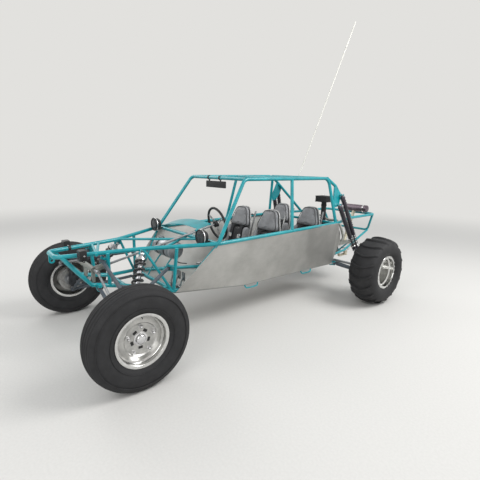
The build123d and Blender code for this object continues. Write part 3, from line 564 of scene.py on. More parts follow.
def tyre_outline(outer, width, rim_width, crown_drop, side_swell, ribs=(), rib_h=0.0, rib_w=0.004):
    """Half circle of points from bead to bead, with ribs at distances from the middle."""
    half = width / 2
    bead = rim_width / 2 - RIM_WALL - 0.0003
    belly = RIM_R + 0.58 * (outer - RIM_R)
    wall = arc_through((bead, LIP_R + 0.002), (half, belly), (half - side_swell, outer - crown_drop), 22)
    crown = arc_through((half - side_swell, outer - crown_drop), (0, outer),
                        (side_swell - half, outer - crown_drop), 60)
    points = [(bead - 0.012, RIM_R + 0.0005), (bead, RIM_R + 0.0005)] + wall + crown[1:]
    points += [(-x, r) for x, r in reversed(wall)][1:] + [(-bead, RIM_R + 0.0005),
                                                          (0.012 - bead, RIM_R + 0.0005)]
    raised = []
    for x, r in points:
        lift = 0.0
        for rib in ribs:
            lift = max(lift, 1 - abs(abs(x) - rib) / rib_w)
        raised.append((x, r + (rib_h * min(1.0, 2.5 * lift) if lift > 0 and r > belly else 0.0)))
    return raised


# Sidewall steps of the front tyres: radius and distance from the middle, in metres
WALL_STEPS = ((0.245, 0.0975), (0.345, 0.1022))


def front_tyres():
    """Ribbed steering tyres: fine rings round a smooth crown and a step on each wall."""
    shape = Shape()
    outline = tyre_outline(FRONT_TYRE_R - FRONT_RIB_H, FRONT_TYRE_W, FRONT_RIM_W, 0.016, 0.022,
                           ribs=FRONT_RIBS, rib_h=FRONT_RIB_H, rib_w=0.0055)
    shape.lathe(outline, segments=128, closed=True)
    for wall in (-1, 1):
        for radius, out in WALL_STEPS:
            shape.tube(ring(wall * out, radius, 96), 0.0032, sides=6, closed=True)
    both_sides("ribbed_front_tyre", shape, FRONT_WHEEL, "front_{}_wheel", "tyre", [RUBBER], "front_{}_tyre")


PADDLE_H = 0.022
PADDLE_SWEEP = 0.070
PADDLE_END = 0.020          # of a paddle inside the tyre's width
# A paddle's section: the distance round the tyre and the share of its height
PADDLE_SECTION = [(-0.010, -0.35), (-0.004, 0.35), (0.001, 0.86), (0.006, 1.0), (0.014, 1.0), (0.019, 0.86),
                  (0.024, 0.35), (0.032, -0.35)]


def rear_tyres():
    """Sand tyres: a smooth carcass with curved paddles moulded across it."""
    half = REAR_TYRE_W / 2 - PADDLE_END
    shape = Shape()
    carcass = tyre_outline(REAR_TYRE_R - PADDLE_H, REAR_TYRE_W, REAR_RIM_W, 0.034, 0.030)
    shape.lathe(carcass, segments=144, closed=True)
    crown = arc_through((half, REAR_TYRE_R - 0.036), (0, REAR_TYRE_R), (-half, REAR_TYRE_R - 0.036), 28)
    for pitch in turns(PADDLE_COUNT, 0.5):
        rows = []
        for x, r in crown:
            across = x / half
            behind = PADDLE_SWEEP * (1 - across * across) - PADDLE_SWEEP / 2
            rise = PADDLE_H * min(1.0, 6 * (1 - abs(across)) + 0.12)
            row = []
            for round_it, share in PADDLE_SECTION:
                radius = r - PADDLE_H + rise * share
                angle = pitch - (behind + round_it) / REAR_TYRE_R
                row.append((x * (1.0 + 0.02 * (1 - share)), radius * math.sin(angle),
                            radius * math.cos(angle)))
            rows.append(row)
        shape.grid(rows, caps=True)
    both_sides("paddle_rear_tyre", shape, REAR_WHEEL, "rear_{}_wheel", "tyre", [RUBBER], "rear_{}_tyre",
               smooth=35)


def lug_nuts(shape, circle, face, radius=0.0105, height=0.02):
    """Five domed hexagon nuts round the centre of a wheel."""
    outline = [(face, radius), (face + 0.002, radius * 1.15), (face + 0.006, radius * 1.15),
               (face + 0.0062, radius), (face + height * 0.8, radius), (face + height, radius * 0.55)]
    for angle in turns(5, 0.25):
        shape.lathe(outline, segments=6, kind=2, turn=round_axle(circle, angle))


def rim_barrel(half, before, well, drop, after, edge=0.001):
    """Closed outline of a rim: the lips and the well between what comes before and after."""
    lip = [(0.0, LIP_R - 0.004), (0.001, LIP_R - 0.001), (0.004, LIP_R), (0.006, LIP_R - 0.002),
           (0.0065, RIM_R), (well[0], RIM_R), (well[1], RIM_R - drop)]
    outer = [(half - x, r) for x, r in lip]
    outer[1] = (half - edge, LIP_R - 0.001)
    return before + outer + [(x - half, r) for x, r in reversed(lip)] + after


def front_rims():
    """Spun rims: rolled lip, deep bowl, a stepped centre whose five vents are black blocks of painted shade,
    nuts and a cap.
    """
    shape = Shape()
    half, inner = FRONT_RIM_W / 2, RIM_R - RIM_WALL
    face = 0.020
    before = [(half - 0.006, inner), (half - 0.002, inner + 0.004)]
    after = [(0.006 - half, inner), (0.045 - half, inner), (0.057 - half, inner - 0.012),
             (half - 0.059, inner - 0.012), (half - 0.045, inner)]
    shape.lathe(rim_barrel(half, before, (0.045, 0.055), 0.012, after), segments=96, closed=True)
    bowl = [(face + 0.016, inner - 0.006), (face + 0.010, 0.168), (face + 0.014, 0.158),
            (face + 0.022, 0.130), (face + 0.013, 0.120), (face + 0.013, 0.088), (face + 0.008, 0.082),
            (face + 0.008, 0.050)]
    shape.lathe(bowl + [(x - 0.008, r) for x, r in reversed(bowl)], segments=120, kind=1, closed=True)
    # The five vents are solid black blocks: painted shade where the openings would show the dark inside of
    # the wheel.
    for angle in turns(5, 0.75):
        shape.block((face - 0.002, -0.0115, -0.0175), (face + 0.0092, 0.0115, 0.0175), kind=3, bevel=0.005,
                    turn=round_axle(VENT_CIRCLE, angle) @ Matrix.Rotation(angle, 4, "X"))
    shape.lathe([(face + 0.006, 0.052), (face + 0.012, 0.050), (face + 0.014, 0.040), (face + 0.030, 0.036),
                 (face + 0.036, 0.030), (face + 0.038, 0.012)], segments=48, kind=2)
    lug_nuts(shape, LUG_CIRCLE, face + 0.013, radius=0.0135, height=0.032)
    valve = [(half - 0.030, 0, inner - 0.001), (half - 0.010, 0, inner - 0.008),
             (half - 0.004, 0, inner - 0.016)]
    shape.tube(valve, 0.0035, sides=8, kind=3)
    both_sides("spun_front_rim", shape, FRONT_WHEEL, "front_{}_wheel", "polished_rim",
               [POLISHED, SATIN, CHROME, BLACK_PLASTIC], "front_{}_rim")


LIP_BOLTS = 0.1965          # radius of the circle of bolts in the lip


def rear_rims():
    """Wide spun rims: a bolted ring at the lip and a plain satin bowl down to the hub's nuts."""
    shape = Shape()
    half, inner = REAR_RIM_W / 2, RIM_R - RIM_WALL
    face = -0.070
    before = [(half - 0.008, inner - 0.010), (half - 0.001, inner - 0.008)]
    after = [(0.006 - half, inner), (0.052 - half, inner), (0.064 - half, inner - 0.014),
             (half - 0.066, inner - 0.014), (half - 0.054, inner), (half - 0.012, inner)]
    shape.lathe(rim_barrel(half, before, (0.050, 0.062), 0.014, after, edge=0.002), segments=96, closed=True)
    shape.lathe([(face + 0.038, inner - 0.013), (face + 0.034, 0.150), (face + 0.016, 0.110),
                 (face + 0.008, 0.085), (face + 0.008, 0.0)], segments=96, kind=1)
    shape.lathe([(face + 0.006, 0.050), (face + 0.016, 0.048), (face + 0.032, 0.040), (face + 0.036, 0.030),
                 (face + 0.036, 0.0)], segments=48, kind=2)
    lug_nuts(shape, 0.066, face + 0.008)
    for angle in turns(24):
        shape.screw(round_axle(LIP_BOLTS, angle), 0.0045, half - 0.001, half + 0.003, 2, edge=0.0008,
                    drop=0.0015)
    both_sides("spun_rear_rim", shape, REAR_WHEEL, "rear_{}_wheel", "polished_rim",
               [POLISHED, SATIN, CHROME], "rear_{}_rim")


front_tyres()
rear_tyres()
front_rims()
rear_rims()


# Seats, in metres; each is modelled about its own hip point with X to the left and Y to the rear
SEAT_X = 255
SEAT_STATIONS = {"front": 1760, "rear": 2490}
SEAT_BASE_Z = 470
SEAT_W = 0.400
BASE_LENGTH = 0.440
BACK_LEAN = math.radians(15)
BACK_FOOT = (5, 42)         # of the back behind the hip and over the base's underside, mm


def swell(data, pressure, cap, voxel=0.008):
    """Blow a closed pad up a little by cloth simulation and keep each point within a cap."""
    pad = bpy.data.objects.new("pad_blank", data)
    bpy.context.collection.objects.link(pad)
    bpy.context.view_layer.objects.active = pad
    remesh = pad.modifiers.new("remesh", "REMESH")
    remesh.mode = "VOXEL"
    remesh.voxel_size = voxel
    smooth = pad.modifiers.new("smooth", "SMOOTH")
    smooth.iterations = 4
    data = bpy.data.meshes.new_from_object(pad.evaluated_get(bpy.context.evaluated_depsgraph_get()))
    pad.modifiers.clear()
    pad.data = data
    start = [v.co.copy() for v in data.vertices]
    cloth = pad.modifiers.new("cloth", "CLOTH")
    cloth.settings.use_pressure = True
    cloth.settings.uniform_pressure_force = pressure
    cloth.settings.effector_weights.gravity = 0
    scene = bpy.context.scene
    scene.frame_end = 20
    for number in range(1, 21):
        scene.frame_set(number)
    swollen = bpy.data.meshes.new_from_object(pad.evaluated_get(bpy.context.evaluated_depsgraph_get()))
    scene.frame_set(1)
    bpy.data.objects.remove(pad)
    for vert, before in zip(swollen.vertices, start):
        way = vert.co - before
        if way.length > cap:
            vert.co = before + way.normalized() * cap
    swollen.materials.clear()
    return swollen


def middle_of(outline):
    return [sum(values) / len(outline) for values in zip(*outline)]


def rim_line(outline, inset, at_y):
    """Closed line round a pad's face, set in from its outline, for piping and seams."""
    cx, cz = middle_of(outline)
    line = []
    for x, z in outline:
        way = Vector((x - cx, z - cz))
        way = way.normalized() * (way.length - inset)
        line.append((cx + way.x, at_y, cz + way.y))
    return line


def pad_blank(outline, thick, edge):
    """Closed pad from an outline of (x, z) points, thick along Y, with a rounded rim."""
    cx, cz = middle_of(outline)
    face = [[(cx + (x - cx) * share, cz + (z - cz) * share) for x, z in outline] for share in (0.15, 0.45,
                                                                                               0.75)]
    rows = [[(x, -thick / 2, z) for x, z in line] for line in face]
    for degrees in range(-90, 91, 15):
        a = math.radians(degrees)
        rows.append(rim_line(outline, edge * (1 - math.cos(a)), math.sin(a) * (thick / 2)))
    rows += [[(x, thick / 2, z) for x, z in line] for line in reversed(face)]
    shape = Shape()
    shape.grid(rows, caps=True)
    return shape.mesh("pad_blank")


def rounded(half, low, high, radius, steps=7):
    """Outline of a rounded rectangle."""
    points = []
    for x, z, start in ((half, low, -90), (half, high, 0), (-half, high, 90), (-half, low, 180)):
        cx = x - math.copysign(radius, x)
        cz = z + (radius if z == low else -radius)
        for k in range(steps + 1):
            a = math.radians(start + 90 * k / steps)
            points.append((cx + radius * math.cos(a), cz + radius * math.sin(a)))
    dense = []
    for (ax, az), (bx, bz) in zip(points, points[1:] + points[:1]):
        count = max(1, int(math.hypot(bx - ax, bz - az) / 0.03))
        dense += [(ax + (bx - ax) * k / count, az + (bz - az) * k / count) for k in range(count)]
    return dense


def flute(data, half, low, high, count, depth):
    """Press sewn channels into a pad's front, side by side between two heights."""
    for vert in data.vertices:
        x, y, z = vert.co
        if y < 0 and abs(x) < half and low < z < high:
            wave = abs(math.cos(math.pi * count * (x + half) / (2 * half)))
            fade = min(1.0, (half - abs(x)) / 0.012, (z - low) / 0.02, (high - z) / 0.02)
            vert.co.y += depth * wave ** 8 * max(0.0, fade)
    return data


HEAD_OUTLINE = [(0.080, 0.425), (0.150, 0.440), (0.164, 0.480), (0.138, 0.560), (0.105, 0.640),
                (0.070, 0.672), (0.0, 0.678)]
SHELL_OUTLINE = [(0.150, 0.010), (0.186, 0.040), (0.190, 0.240), (0.188, 0.430), (0.168, 0.500),
                 (0.140, 0.580), (0.105, 0.655), (0.060, 0.680), (0.0, 0.683)]


def both_halves(points, steps=4):
    """Closed outline from its right half, smoothed between its points."""
    loop = points + [(-x, z) for x, z in reversed(points) if x > 0]
    smooth = []
    for k in range(len(loop)):
        four = [Vector(loop[(k + n) % len(loop)]) for n in (-1, 0, 1, 2)]
        smooth += [tuple(bend(*four, step / steps)) for step in range(steps)]
    return smooth


def seat_pads():
    """The pads of one seat before they are placed."""
    # Columns: outline, thickness, radius of the rim, pressure, the most that a point may move
    head, back, wing, base, roll = [swell(pad_blank(*blank), pressure, cap) for *blank, pressure, cap in (
        (both_halves(HEAD_OUTLINE), 0.062, 0.026, 4.0, 0.010),
        (rounded(0.128, 0.030, 0.425, 0.03), 0.048, 0.020, 4.0, 0.010),
        (rounded(0.030, 0.030, 0.420, 0.028), 0.080, 0.026, 3.0, 0.007),
        (rounded(SEAT_W / 2 - 0.062, 0.016, BASE_LENGTH - 0.02, 0.05), 0.055, 0.024, 4.0, 0.010),
        (rounded(0.029, 0.0, BASE_LENGTH - 0.012, 0.027), 0.066, 0.026, 3.0, 0.007))]
    flute(back, 0.112, 0.05, 0.405, 6, 0.008)
    flute(base, 0.116, 0.04, BASE_LENGTH - 0.05, 5, 0.007)
    # Columns: name, mesh, fill, material, on the back (or the base), place
    return [("head", head, 0.75, GREY_VINYL, True, (0, 0.052, 0)),
            ("back", back, 0.8, BLACK_VINYL, True, (0, 0.055, 0)),
            ("back_bolster_left", wing, 0.9, GREY_VINYL, True, (0.156, 0.046, 0)),
            ("back_bolster_right", wing, 0.9, GREY_VINYL, True, (-0.156, 0.046, 0)),
            ("base", base, 0.8, BLACK_VINYL, False, (0, 0, 0.046)),
            ("base_bolster_left", roll, 0.9, GREY_VINYL, False, (0.162, 0, 0.052)),
            ("base_bolster_right", roll, 0.9, GREY_VINYL, False, (-0.162, 0, 0.052))]


# Turns a pad drawn upright in X and Z so that its height runs from the front of the seat to the hip.
BASE_TURN = Matrix(((1, 0, 0, 0), (0, 0, 1, 0), (0, -1, 0, 0), (0, 0, 0, 1)))
# Woven polyester webbing, ribbed along its length and slightly faded.
WEBBING = mottled("woven_black_webbing", "#17171a", "#29292d", 0.0, 0.7, 0.85, scale=60.0, grain=800.0,
                  depth=0.0006)
# Rows of the shell: share of its outline, distance behind the back's foot
SHELL_ROWS = ((0.2, 0.088), (0.97, 0.088), (1.0, 0.080), (1.0, 0.068), (0.97, 0.062), (0.2, 0.062))
SHELL_MIDDLE = 0.34
CROSSBAR_HEIGHTS = (0.1835, 0.601)
BELT_X = 0.085              # of the belts and the shell's brackets from the middle
# A belt's run: distance behind the back's foot, height up the back
BELT_RUN = [(0.098, 0.30), (0.098, 0.428), (0.076, 0.437), (0.040, 0.436), (0.016, 0.424), (0.010, 0.38),
            (0.008, 0.26), (0.006, 0.13), (-0.012, 0.075)]
BELT_SECTION = ((-0.024, 0), (0.024, 0), (0.024, 0.0025), (-0.024, 0.0025))


def seat(row, side, hip, pads):
    """One bucket seat: shell, fluted black pads, grey bolsters and head pad, trim and belts."""
    name = f"{row}_{side}_seat"
    seat_at = Matrix.Translation(place((1 if side == "left" else -1) * SEAT_X, hip, SEAT_BASE_Z))
    foot = Matrix.Translation((0, BACK_FOOT[0] * MM, BACK_FOOT[1] * MM))
    lean = seat_at @ foot @ Matrix.Rotation(-BACK_LEAN, 4, "X")
    for part, pad, fill, vinyl, on_back, spot in pads:
        data = pad.copy()
        spot = Matrix.Translation(spot)
        data.transform((lean @ spot) if on_back else (seat_at @ spot @ BASE_TURN))
        bolster = "bolster" in part
        if not bolster:
            bm = bmesh.new()
            bm.from_mesh(data)
            bmesh.ops.subdivide_edges(bm, edges=bm.edges[:], cuts=1, use_grid_fill=True, smooth=0.6)
            bm.to_mesh(data)
            bm.free()
        piece(f"{name}_{part}", data, "chassis", "seat_vinyl", vinyl, smooth=80,
                        instead=() if bolster else ["seat_pads"])

    trim = Shape()
    outline = both_halves(SHELL_OUTLINE)
    trim.grid([[(x * share, y, SHELL_MIDDLE + (z - SHELL_MIDDLE) * share) for x, z in outline]
               for share, y in SHELL_ROWS], caps=True)
    trim.tube(rim_line(both_halves(HEAD_OUTLINE), 0.012, 0.020), 0.0042, sides=8, closed=True)
    trim.tube(rim_line(outline, -0.001, 0.074), 0.008, sides=8, closed=True, kind=1)
    # Brackets that bolt the shell to the two crossbars of the tube frame
    for height in CROSSBAR_HEIGHTS:
        for x in (-BELT_X, BELT_X):
            trim.block((x - 0.014, 0.086, height - 0.012), (x + 0.014, 0.1405, height - 0.008), kind=1,
                       bevel=0.001)
            trim.block((x - 0.014, 0.086, height - 0.020), (x + 0.014, 0.0895, height + 0.024), kind=1,
                       bevel=0.001)
            trim.tube([(x, 0.150 + 0.0105 * math.sin(a), height + 0.0105 * math.cos(a)) for a in
                       (math.pi * k / 8 for k in range(-9, 2))], 0.0018, sides=6, kind=1)
    belts = Shape()
    for x in (-BELT_X, BELT_X):
        belts.grid([[(x + dx, y + dy, z + dy * 0.3) for dx, dy in BELT_SECTION] for y, z in BELT_RUN],
                   caps=True)
        belts.block((x - 0.028, -0.003, 0.26), (x + 0.028, 0.010, 0.31), kind=1, bevel=0.003)
    for part, shape, materials in (("shell", trim, (BLACK_VINYL, SILVER_PAINT)),
                                   ("belts", belts, (WEBBING, CHROME))):
        data = shape.mesh(f"{name}_{part}")
        data.transform(lean)
        piece(f"{name}_{part}", data, "chassis", "seat_vinyl", *materials, smooth=50)


SEAT_PADS = seat_pads()
for row, hip in SEAT_STATIONS.items():
    for side in ("left", "right"):
        seat(row, side, hip, SEAT_PADS)


# Dampers, in metres; each is drawn from its top eye along X
SHOCK_TOP = (292, 324, 858)
SHOCK_LOW = (590, 90, 425)
REAR_SHOCK_LOW = (690, WHEELBASE + 77, 600)
REAR_SHOCKS = (((580, WHEELBASE - 222, 1205), -37), ((570, WHEELBASE - 162, 1328), 37))


def eye_bush(shape, x):
    """Bonded bush across a damper's end, drawn along local Z."""
    shape.pin(Matrix.Translation((x, 0, 0)) @ Matrix.Rotation(math.radians(90), 4, "Y"), 0.0175, 0.0172,
              0.001, 0.0007, segments=32, kind=2)


def coil(shape, start, end, count, radius, wire):
    """Helical spring along X with a closed turn at each end."""
    points = []
    steps = int(count * 24)
    flat = 0.5 / count
    for k in range(steps + 1):
        t = k / steps
        pull = 0.0 if t < flat else 1.0 if t > 1 - flat else (t - flat) / (1 - 2 * flat)
        a = 2 * math.pi * count * t
        points.append((start + (end - start) * pull, radius * math.cos(a), radius * math.sin(a)))
    shape.tube(points, wire, sides=10, kind=1)


def damper_at(top, low, across, sign):
    """Where a damper's own X runs from its top eye to its low eye, with Z along the eyes."""
    top = Vector((sign * top[0], top[1] - MIDDLE_STATION, top[2])) * MM
    low = Vector((sign * low[0], low[1] - MIDDLE_STATION, low[2])) * MM
    return stand(top, low - top, (low - top).cross(Vector((sign * across[0], across[1],
                                                           across[2])))), (low - top).length


def front_coilovers():
    """Coil-over dampers: bright body with an adjuster collar, black spring, plated rod and bump rubber."""
    shape = Shape()
    for sign in (1, -1):
        turn, length = damper_at(SHOCK_TOP, SHOCK_LOW, (0, 1, 0), sign)
        part = Shape()
        part.lathe([(0.012, 0.020), (0.026, 0.026), (0.050, 0.030), (0.066, 0.030), (0.068, 0.025),
                    (0.300, 0.025), (0.304, 0.023), (0.312, 0.023), (0.314, 0.011), (length - 0.030, 0.011),
                    (length - 0.028, 0.018), (length - 0.006, 0.016)], segments=40)
        # Threaded collar under the spring's top seat, lower seat and bump rubber
        for k in range(12):
            x = 0.0745 + 0.005 * k
            part.lathe([(x - 0.0025, 0.0255), (x, 0.0268), (x + 0.0025, 0.0255)], segments=32)
        for x in (0.058, 0.068):
            part.lathe([(x - 0.005, 0.040), (x - 0.004, 0.048), (x + 0.004, 0.048), (x + 0.005, 0.040)],
                       segments=24, kind=2)
        seat_x = 0.80 * length
        part.lathe([(seat_x - 0.004, 0.046), (seat_x, 0.051), (seat_x + 0.006, 0.051),
                    (seat_x + 0.018, 0.024)],
                   segments=40, kind=2)
        part.lathe([(0.316, 0.013), (0.320, 0.019), (0.344, 0.021), (0.350, 0.013)], segments=24, kind=3)
        coil(part, 0.082, seat_x - 0.012, 8.0, 0.0415, 0.0108)
        eye_bush(part, 0)
        eye_bush(part, length)
        shape.join(part, turn)
    piece("coilover_dampers", shape, "chassis", "damper_steel", DAMPER_BODY, BLACK_STEEL,
          CHROME, BLACK_PLASTIC, instead=["front_coilovers"])


def rear_dampers():
    """Long rear dampers, two on each side, with fine-pitched springs."""
    shape = Shape()
    for sign in (1, -1):
        for (top, aside), count in zip(REAR_SHOCKS, (27, 21)):
            low = (REAR_SHOCK_LOW[0], REAR_SHOCK_LOW[1] + aside, REAR_SHOCK_LOW[2])
            turn, length = damper_at(top, low, (1, 0, 0), sign)
            part = Shape()
            part.lathe([(0.012, 0.018), (0.030, 0.027), (0.036, 0.030), (0.050, 0.030), (0.052, 0.0235),
                        (length * 0.72, 0.0235), (length * 0.72 + 0.004, 0.019), (length * 0.74, 0.010),
                        (length - 0.045, 0.010), (length - 0.042, 0.024), (length - 0.018, 0.022),
                        (length - 0.010, 0.014)], segments=36)
            part.lathe([(0.9 * length - 0.004, 0.028), (0.9 * length, 0.0315),
                        (0.9 * length + 0.008, 0.0315), (0.9 * length + 0.016, 0.020)], segments=36, kind=2)
            coil(part, 0.1 * length, 0.9 * length - 0.006, count, 0.0278, 0.0036)
            eye_bush(part, 0)
            eye_bush(part, length)
            shape.join(part, turn)
    piece("long_rear_dampers", shape, "chassis", "damper_steel", PURPLE_STEEL, BLACK_STEEL,
          CHROME, instead=["rear_shocks"])


# Hard-anodised damper tube: a pale satin sheen with faint draw lines along it.
DAMPER_BODY = mottled("hard_anodised_damper_tube", "#9b9ca0", "#c3c4c7", 0.9, 0.22, 0.34, scale=25.0)
front_coilovers()
rear_dampers()


# Lamps, mirror and steering wheel
# Snap-on cover of smoked acrylic: dark grey with a clear gloss.
SMOKED = mottled("smoked_acrylic_cover", "#2e3133", "#43474a", 0.0, 0.12, 0.24, scale=20.0, Coat_Weight=0.5)
# Silvered glass: a clear, slightly cool reflection.
MIRROR_GLASS = mottled("silvered_mirror_glass", "#c3c9cc", "#dde2e4", 1.0, 0.02, 0.05, scale=6.0)
# Moulded polyurethane of the grip: black with a soft sheen where hands have rubbed it.
GRIP = mottled("moulded_grip_foam", "#161617", "#242425", 0.0, 0.5, 0.68, scale=22.0, grain=700.0,
               depth=0.0006)


NOSE_LAMP_X = 243
NOSE_LAMP_BOLT = (-165, 905)  # station and height


def driving_lamps():
    """Round lamps on the rails beside the cowl, and rectangular ones on the nose."""
    shape = Shape()
    for sign in (1, -1):
        turn = at(sign * 470, 905, 985, (0, -1, 0))
        shape.lathe([(0.000, 0.016), (0.002, 0.030), (0.010, 0.050), (0.030, 0.065), (0.058, 0.072),
                     (0.060, 0.075), (0.078, 0.075), (0.082, 0.072), (0.082, 0.067), (0.074, 0.066)],
                     turn=turn)
        shape.lathe([(0.0745, 0.0665), (0.079, 0.060), (0.0815, 0.040), (0.0825, 0.0)], kind=2, turn=turn)
        for k in range(-4, 5):
            half = math.sqrt(0.058 ** 2 - (0.0125 * k) ** 2)
            shape.tube([turn @ Vector((0.0825 - 0.8 * v * v, 0.0125 * k, v)) for v in
                        (-half, -half / 2, 0.0, half / 2, half)], 0.0016, sides=6, kind=2)
        shape.lathe([(0.062, 0.0752), (0.064, 0.0768), (0.070, 0.0768), (0.072, 0.0752)], kind=1, turn=turn)
        shape.rod([(470, 872, 912), (470, 888, 928), (472, 915, 938), (478, 945, 936)], 0.009, mirror=sign)
        shape.pin(at(sign * 470, 880, 921), 0.012, 0.015, 0.002, 0.004, segments=6, kind=1)
        # Nose lamp: body, bezel and ribbed cover
        shape.slab((202, 284), (-195, -140), (860, 950), sign, bevel=0.010)
        shape.slab((204, 282), (-197, -187), (862, 948), sign, bevel=0.006)
        shape.slab((211, 275), (-199.5, -190), (869, 941), sign, kind=2, bevel=0.004)
        for k in range(6):
            x = sign * NOSE_LAMP_X - 24 + k * 9.6
            shape.rod([(x, -199.6, 873), (x, -200.4, 905), (x, -199.6, 937)], 0.0013, sides=6, kind=2)
        shape.rod([(sign * NOSE_LAMP_X + x, NOSE_LAMP_BOLT[0], z) for x, z in
                   ((-46, 905), (-46, 852), (0, 846), (46, 852), (46, 905))], 0.0035, sides=8)
        # Clamp round the rail and the stub that carries the bracket
        rail = stand(place(sign * 163.5, -165, 889.8), (sign * 0.209, 0.977, 0.020))
        shape.band(-0.012, 0.012, 0.0193, 0.0235, segments=40, turn=rail)
        shape.rod([(185, -165, 890), (198, -165, 890)], 0.008, mirror=sign, sides=16, kind=1)
        for edge in (-44, 44):
            shape.pin(at(sign * NOSE_LAMP_X + edge, *NOSE_LAMP_BOLT), 0.006, 0.008, 0.001, 0.002,
                      segments=6, kind=1)
    piece("driving_lamps", shape, "chassis", "black_plastic", BLACK_PLASTIC, CHROME, SMOKED,
          instead=["lamps"])


def cabin_mirror():
    """Wide mirror under the front roof bar, held by two split clamps."""
    shape = Shape()
    shape.slab((-209, 149), (1365, 1385), (1415, 1489), bevel=0.009)
    shape.slab((-203, 143), (1384, 1386.5), (1420, 1484), kind=1, bevel=0.001)
    for x in (-150, 60):
        shape.band(-0.010, 0.010, 0.0193, 0.0245, segments=40, turn=at(x, 1370, 1525))
        shape.rod([(x, 1371, 1502), (x, 1373, 1492), (x, 1375, 1480)], 0.0075, sides=16)
        shape.slab((x - 9, x + 9), (1390, 1402), (1515, 1535), bevel=0.002)
        shape.pin(at(x, 1396, 1525, (0, 0, 1)), 0.013, 0.006, 0.001, 0.002, segments=6, kind=2)
    piece("cabin_mirror", shape, "chassis", "black_plastic", BLACK_PLASTIC, MIRROR_GLASS, CHROME,
          instead=["rear_mirror"])


PINION = (150, -25, 752)
STEERING_WHEEL = (255, 1190, 1060)
STEERING_WHEEL_R = 0.168


def rim_wheel():
    """Three-spoke steering wheel: a foam grip with finger bumps, drilled spokes and a bolted boss."""
    turn = stand(place(*STEERING_WHEEL), place(*STEERING_WHEEL) - place(*PINION), (1, 0, 0))
    shape = Shape()
    rows = []
    for a in turns(144):
        bumps = max(0.0, math.cos(24 * a)) if abs(math.sin(a)) > 0.35 else 0.0
        grip = 0.0125 + 0.0007 * bumps
        rows.append([(grip * math.sin(b), (STEERING_WHEEL_R + grip * math.cos(b)) * math.cos(a),
                      (STEERING_WHEEL_R + grip * math.cos(b)) * math.sin(a)) for b in turns(18)])
    shape.grid(rows, closed_column=True, turn=turn)
    for number in range(3):
        spoke = turn @ Matrix.Rotation(math.radians(120 * number + 90), 4, "X")
        for y0, y1, half in ((0.026, 0.070, 0.0135), (0.070, 0.115, 0.0125), (0.115, 0.160, 0.012)):
            for y in (y0, y1 - 0.010):
                shape.block((-0.006, y, -half), (-0.002, y + 0.010, half), kind=1, turn=spoke)
        for edge in (-0.0125, 0.0085):
            shape.block((-0.006, 0.026, edge), (-0.002, 0.160, edge + 0.004), kind=1, turn=spoke)
    shape.lathe([(-0.034, 0.020), (-0.034, 0.031), (-0.010, 0.031), (-0.002, 0.034), (0.001, 0.034),
                 (0.003, 0.028), (0.006, 0.020), (0.007, 0.0)], segments=48, kind=2, turn=turn)
    for angle in turns(6, 0.5):
        shape.screw(turn @ round_axle(0.0285, angle), 0.0035, 0.0, 0.004, 3, edge=0.0005, drop=0.0015)
    piece("foam_grip_steering_wheel", shape, "steering_wheel", "black_plastic", GRIP,
          SILVER_PAINT, BLACK_PLASTIC, CHROME, instead=["steering_wheel"])


driving_lamps()
cabin_mirror()
rim_wheel()


# Engine, exhaust and tail fittings
ENGINE_STATION = WHEELBASE + 370
# Ceramic coat on the headers: warm cream with a dry sheen.
EXHAUST = mottled("ceramic_coated_pipe", "#b5ad97", "#d6cfbb", 0.4, 0.35, 0.5, scale=14.0)
# Zinc plate with a yellow chromate: straw gold that turns to violet and green in places.
GOLD_ZINC = mottled("yellow_chromate_zinc", "#a8893f", "#c7ad63", 0.9, 0.3, 0.45, scale=20.0)


CYLINDERS = (ENGINE_STATION - 78, ENGINE_STATION + 78)
CRANK_Z = 512
FAN_Z = 748


def fan_housing(shape):
    """Fan shroud with a rounded crown, and the generator on its back."""
    rows = []
    for station, inset in ((-158, 6), (-152, 0), (12, 0), (18, 6)):
        y = ENGINE_STATION + station
        row = []
        for k in range(41):
            a = math.pi * k / 40
            row.append(place(math.cos(a) * (228 - inset) * (0.62 + 0.38 * (1 - math.sin(a) ** 6)), y,
                             640 + (math.sin(a) ** 0.7) * (224 - inset)))
        rows.append(row + [place(inset - 226, y, 622), place(226 - inset, y, 622)])
    shape.grid(rows, caps=True, kind=2)
    hub = at(0, ENGINE_STATION + 18, FAN_Z, (0, 1, 0))
    shape.lathe([(0.000, 0.052), (0.010, 0.055), (0.018, 0.049), (0.120, 0.049), (0.128, 0.040),
                 (0.134, 0.012), (0.150, 0.012)], segments=48, turn=hub)
    for angle in turns(8):
        shape.block((0.118, -0.0035, 0.028), (0.1285, 0.0035, 0.044), kind=2,
                    turn=hub @ Matrix.Rotation(angle, 4, "X"))


def belt_drive(shape):
    """Generator and crank pulleys with their belt."""
    for z, radius in ((FAN_Z, 0.058), (CRANK_Z, 0.084)):
        shape.lathe([(0.000, 0.016), (0.000, radius - 0.004), (0.003, radius), (0.008, radius - 0.008),
                     (0.013, radius), (0.016, radius - 0.004), (0.016, 0.030), (0.010, 0.024),
                     (0.010, 0.012), (0.020, 0.012), (0.022, 0.008)], kind=3,
                     turn=at(0, ENGINE_STATION + 163, z, (0, 1, 0)))
    shape.lathe([(0.0, 0.03), (0.165, 0.03)], segments=32, turn=at(0, ENGINE_STATION, CRANK_Z, (0, 1, 0)))
    belt = []
    for z, radius, start in ((FAN_Z, 57, 0.0), (CRANK_Z, 83, math.pi)):
        for k in range(25):
            a = start + math.pi * k / 24
            belt.append((radius * math.cos(a), ENGINE_STATION + 171, z + radius * math.sin(a)))
    shape.rod(belt, 0.0055, sides=8, kind=2, closed=True)


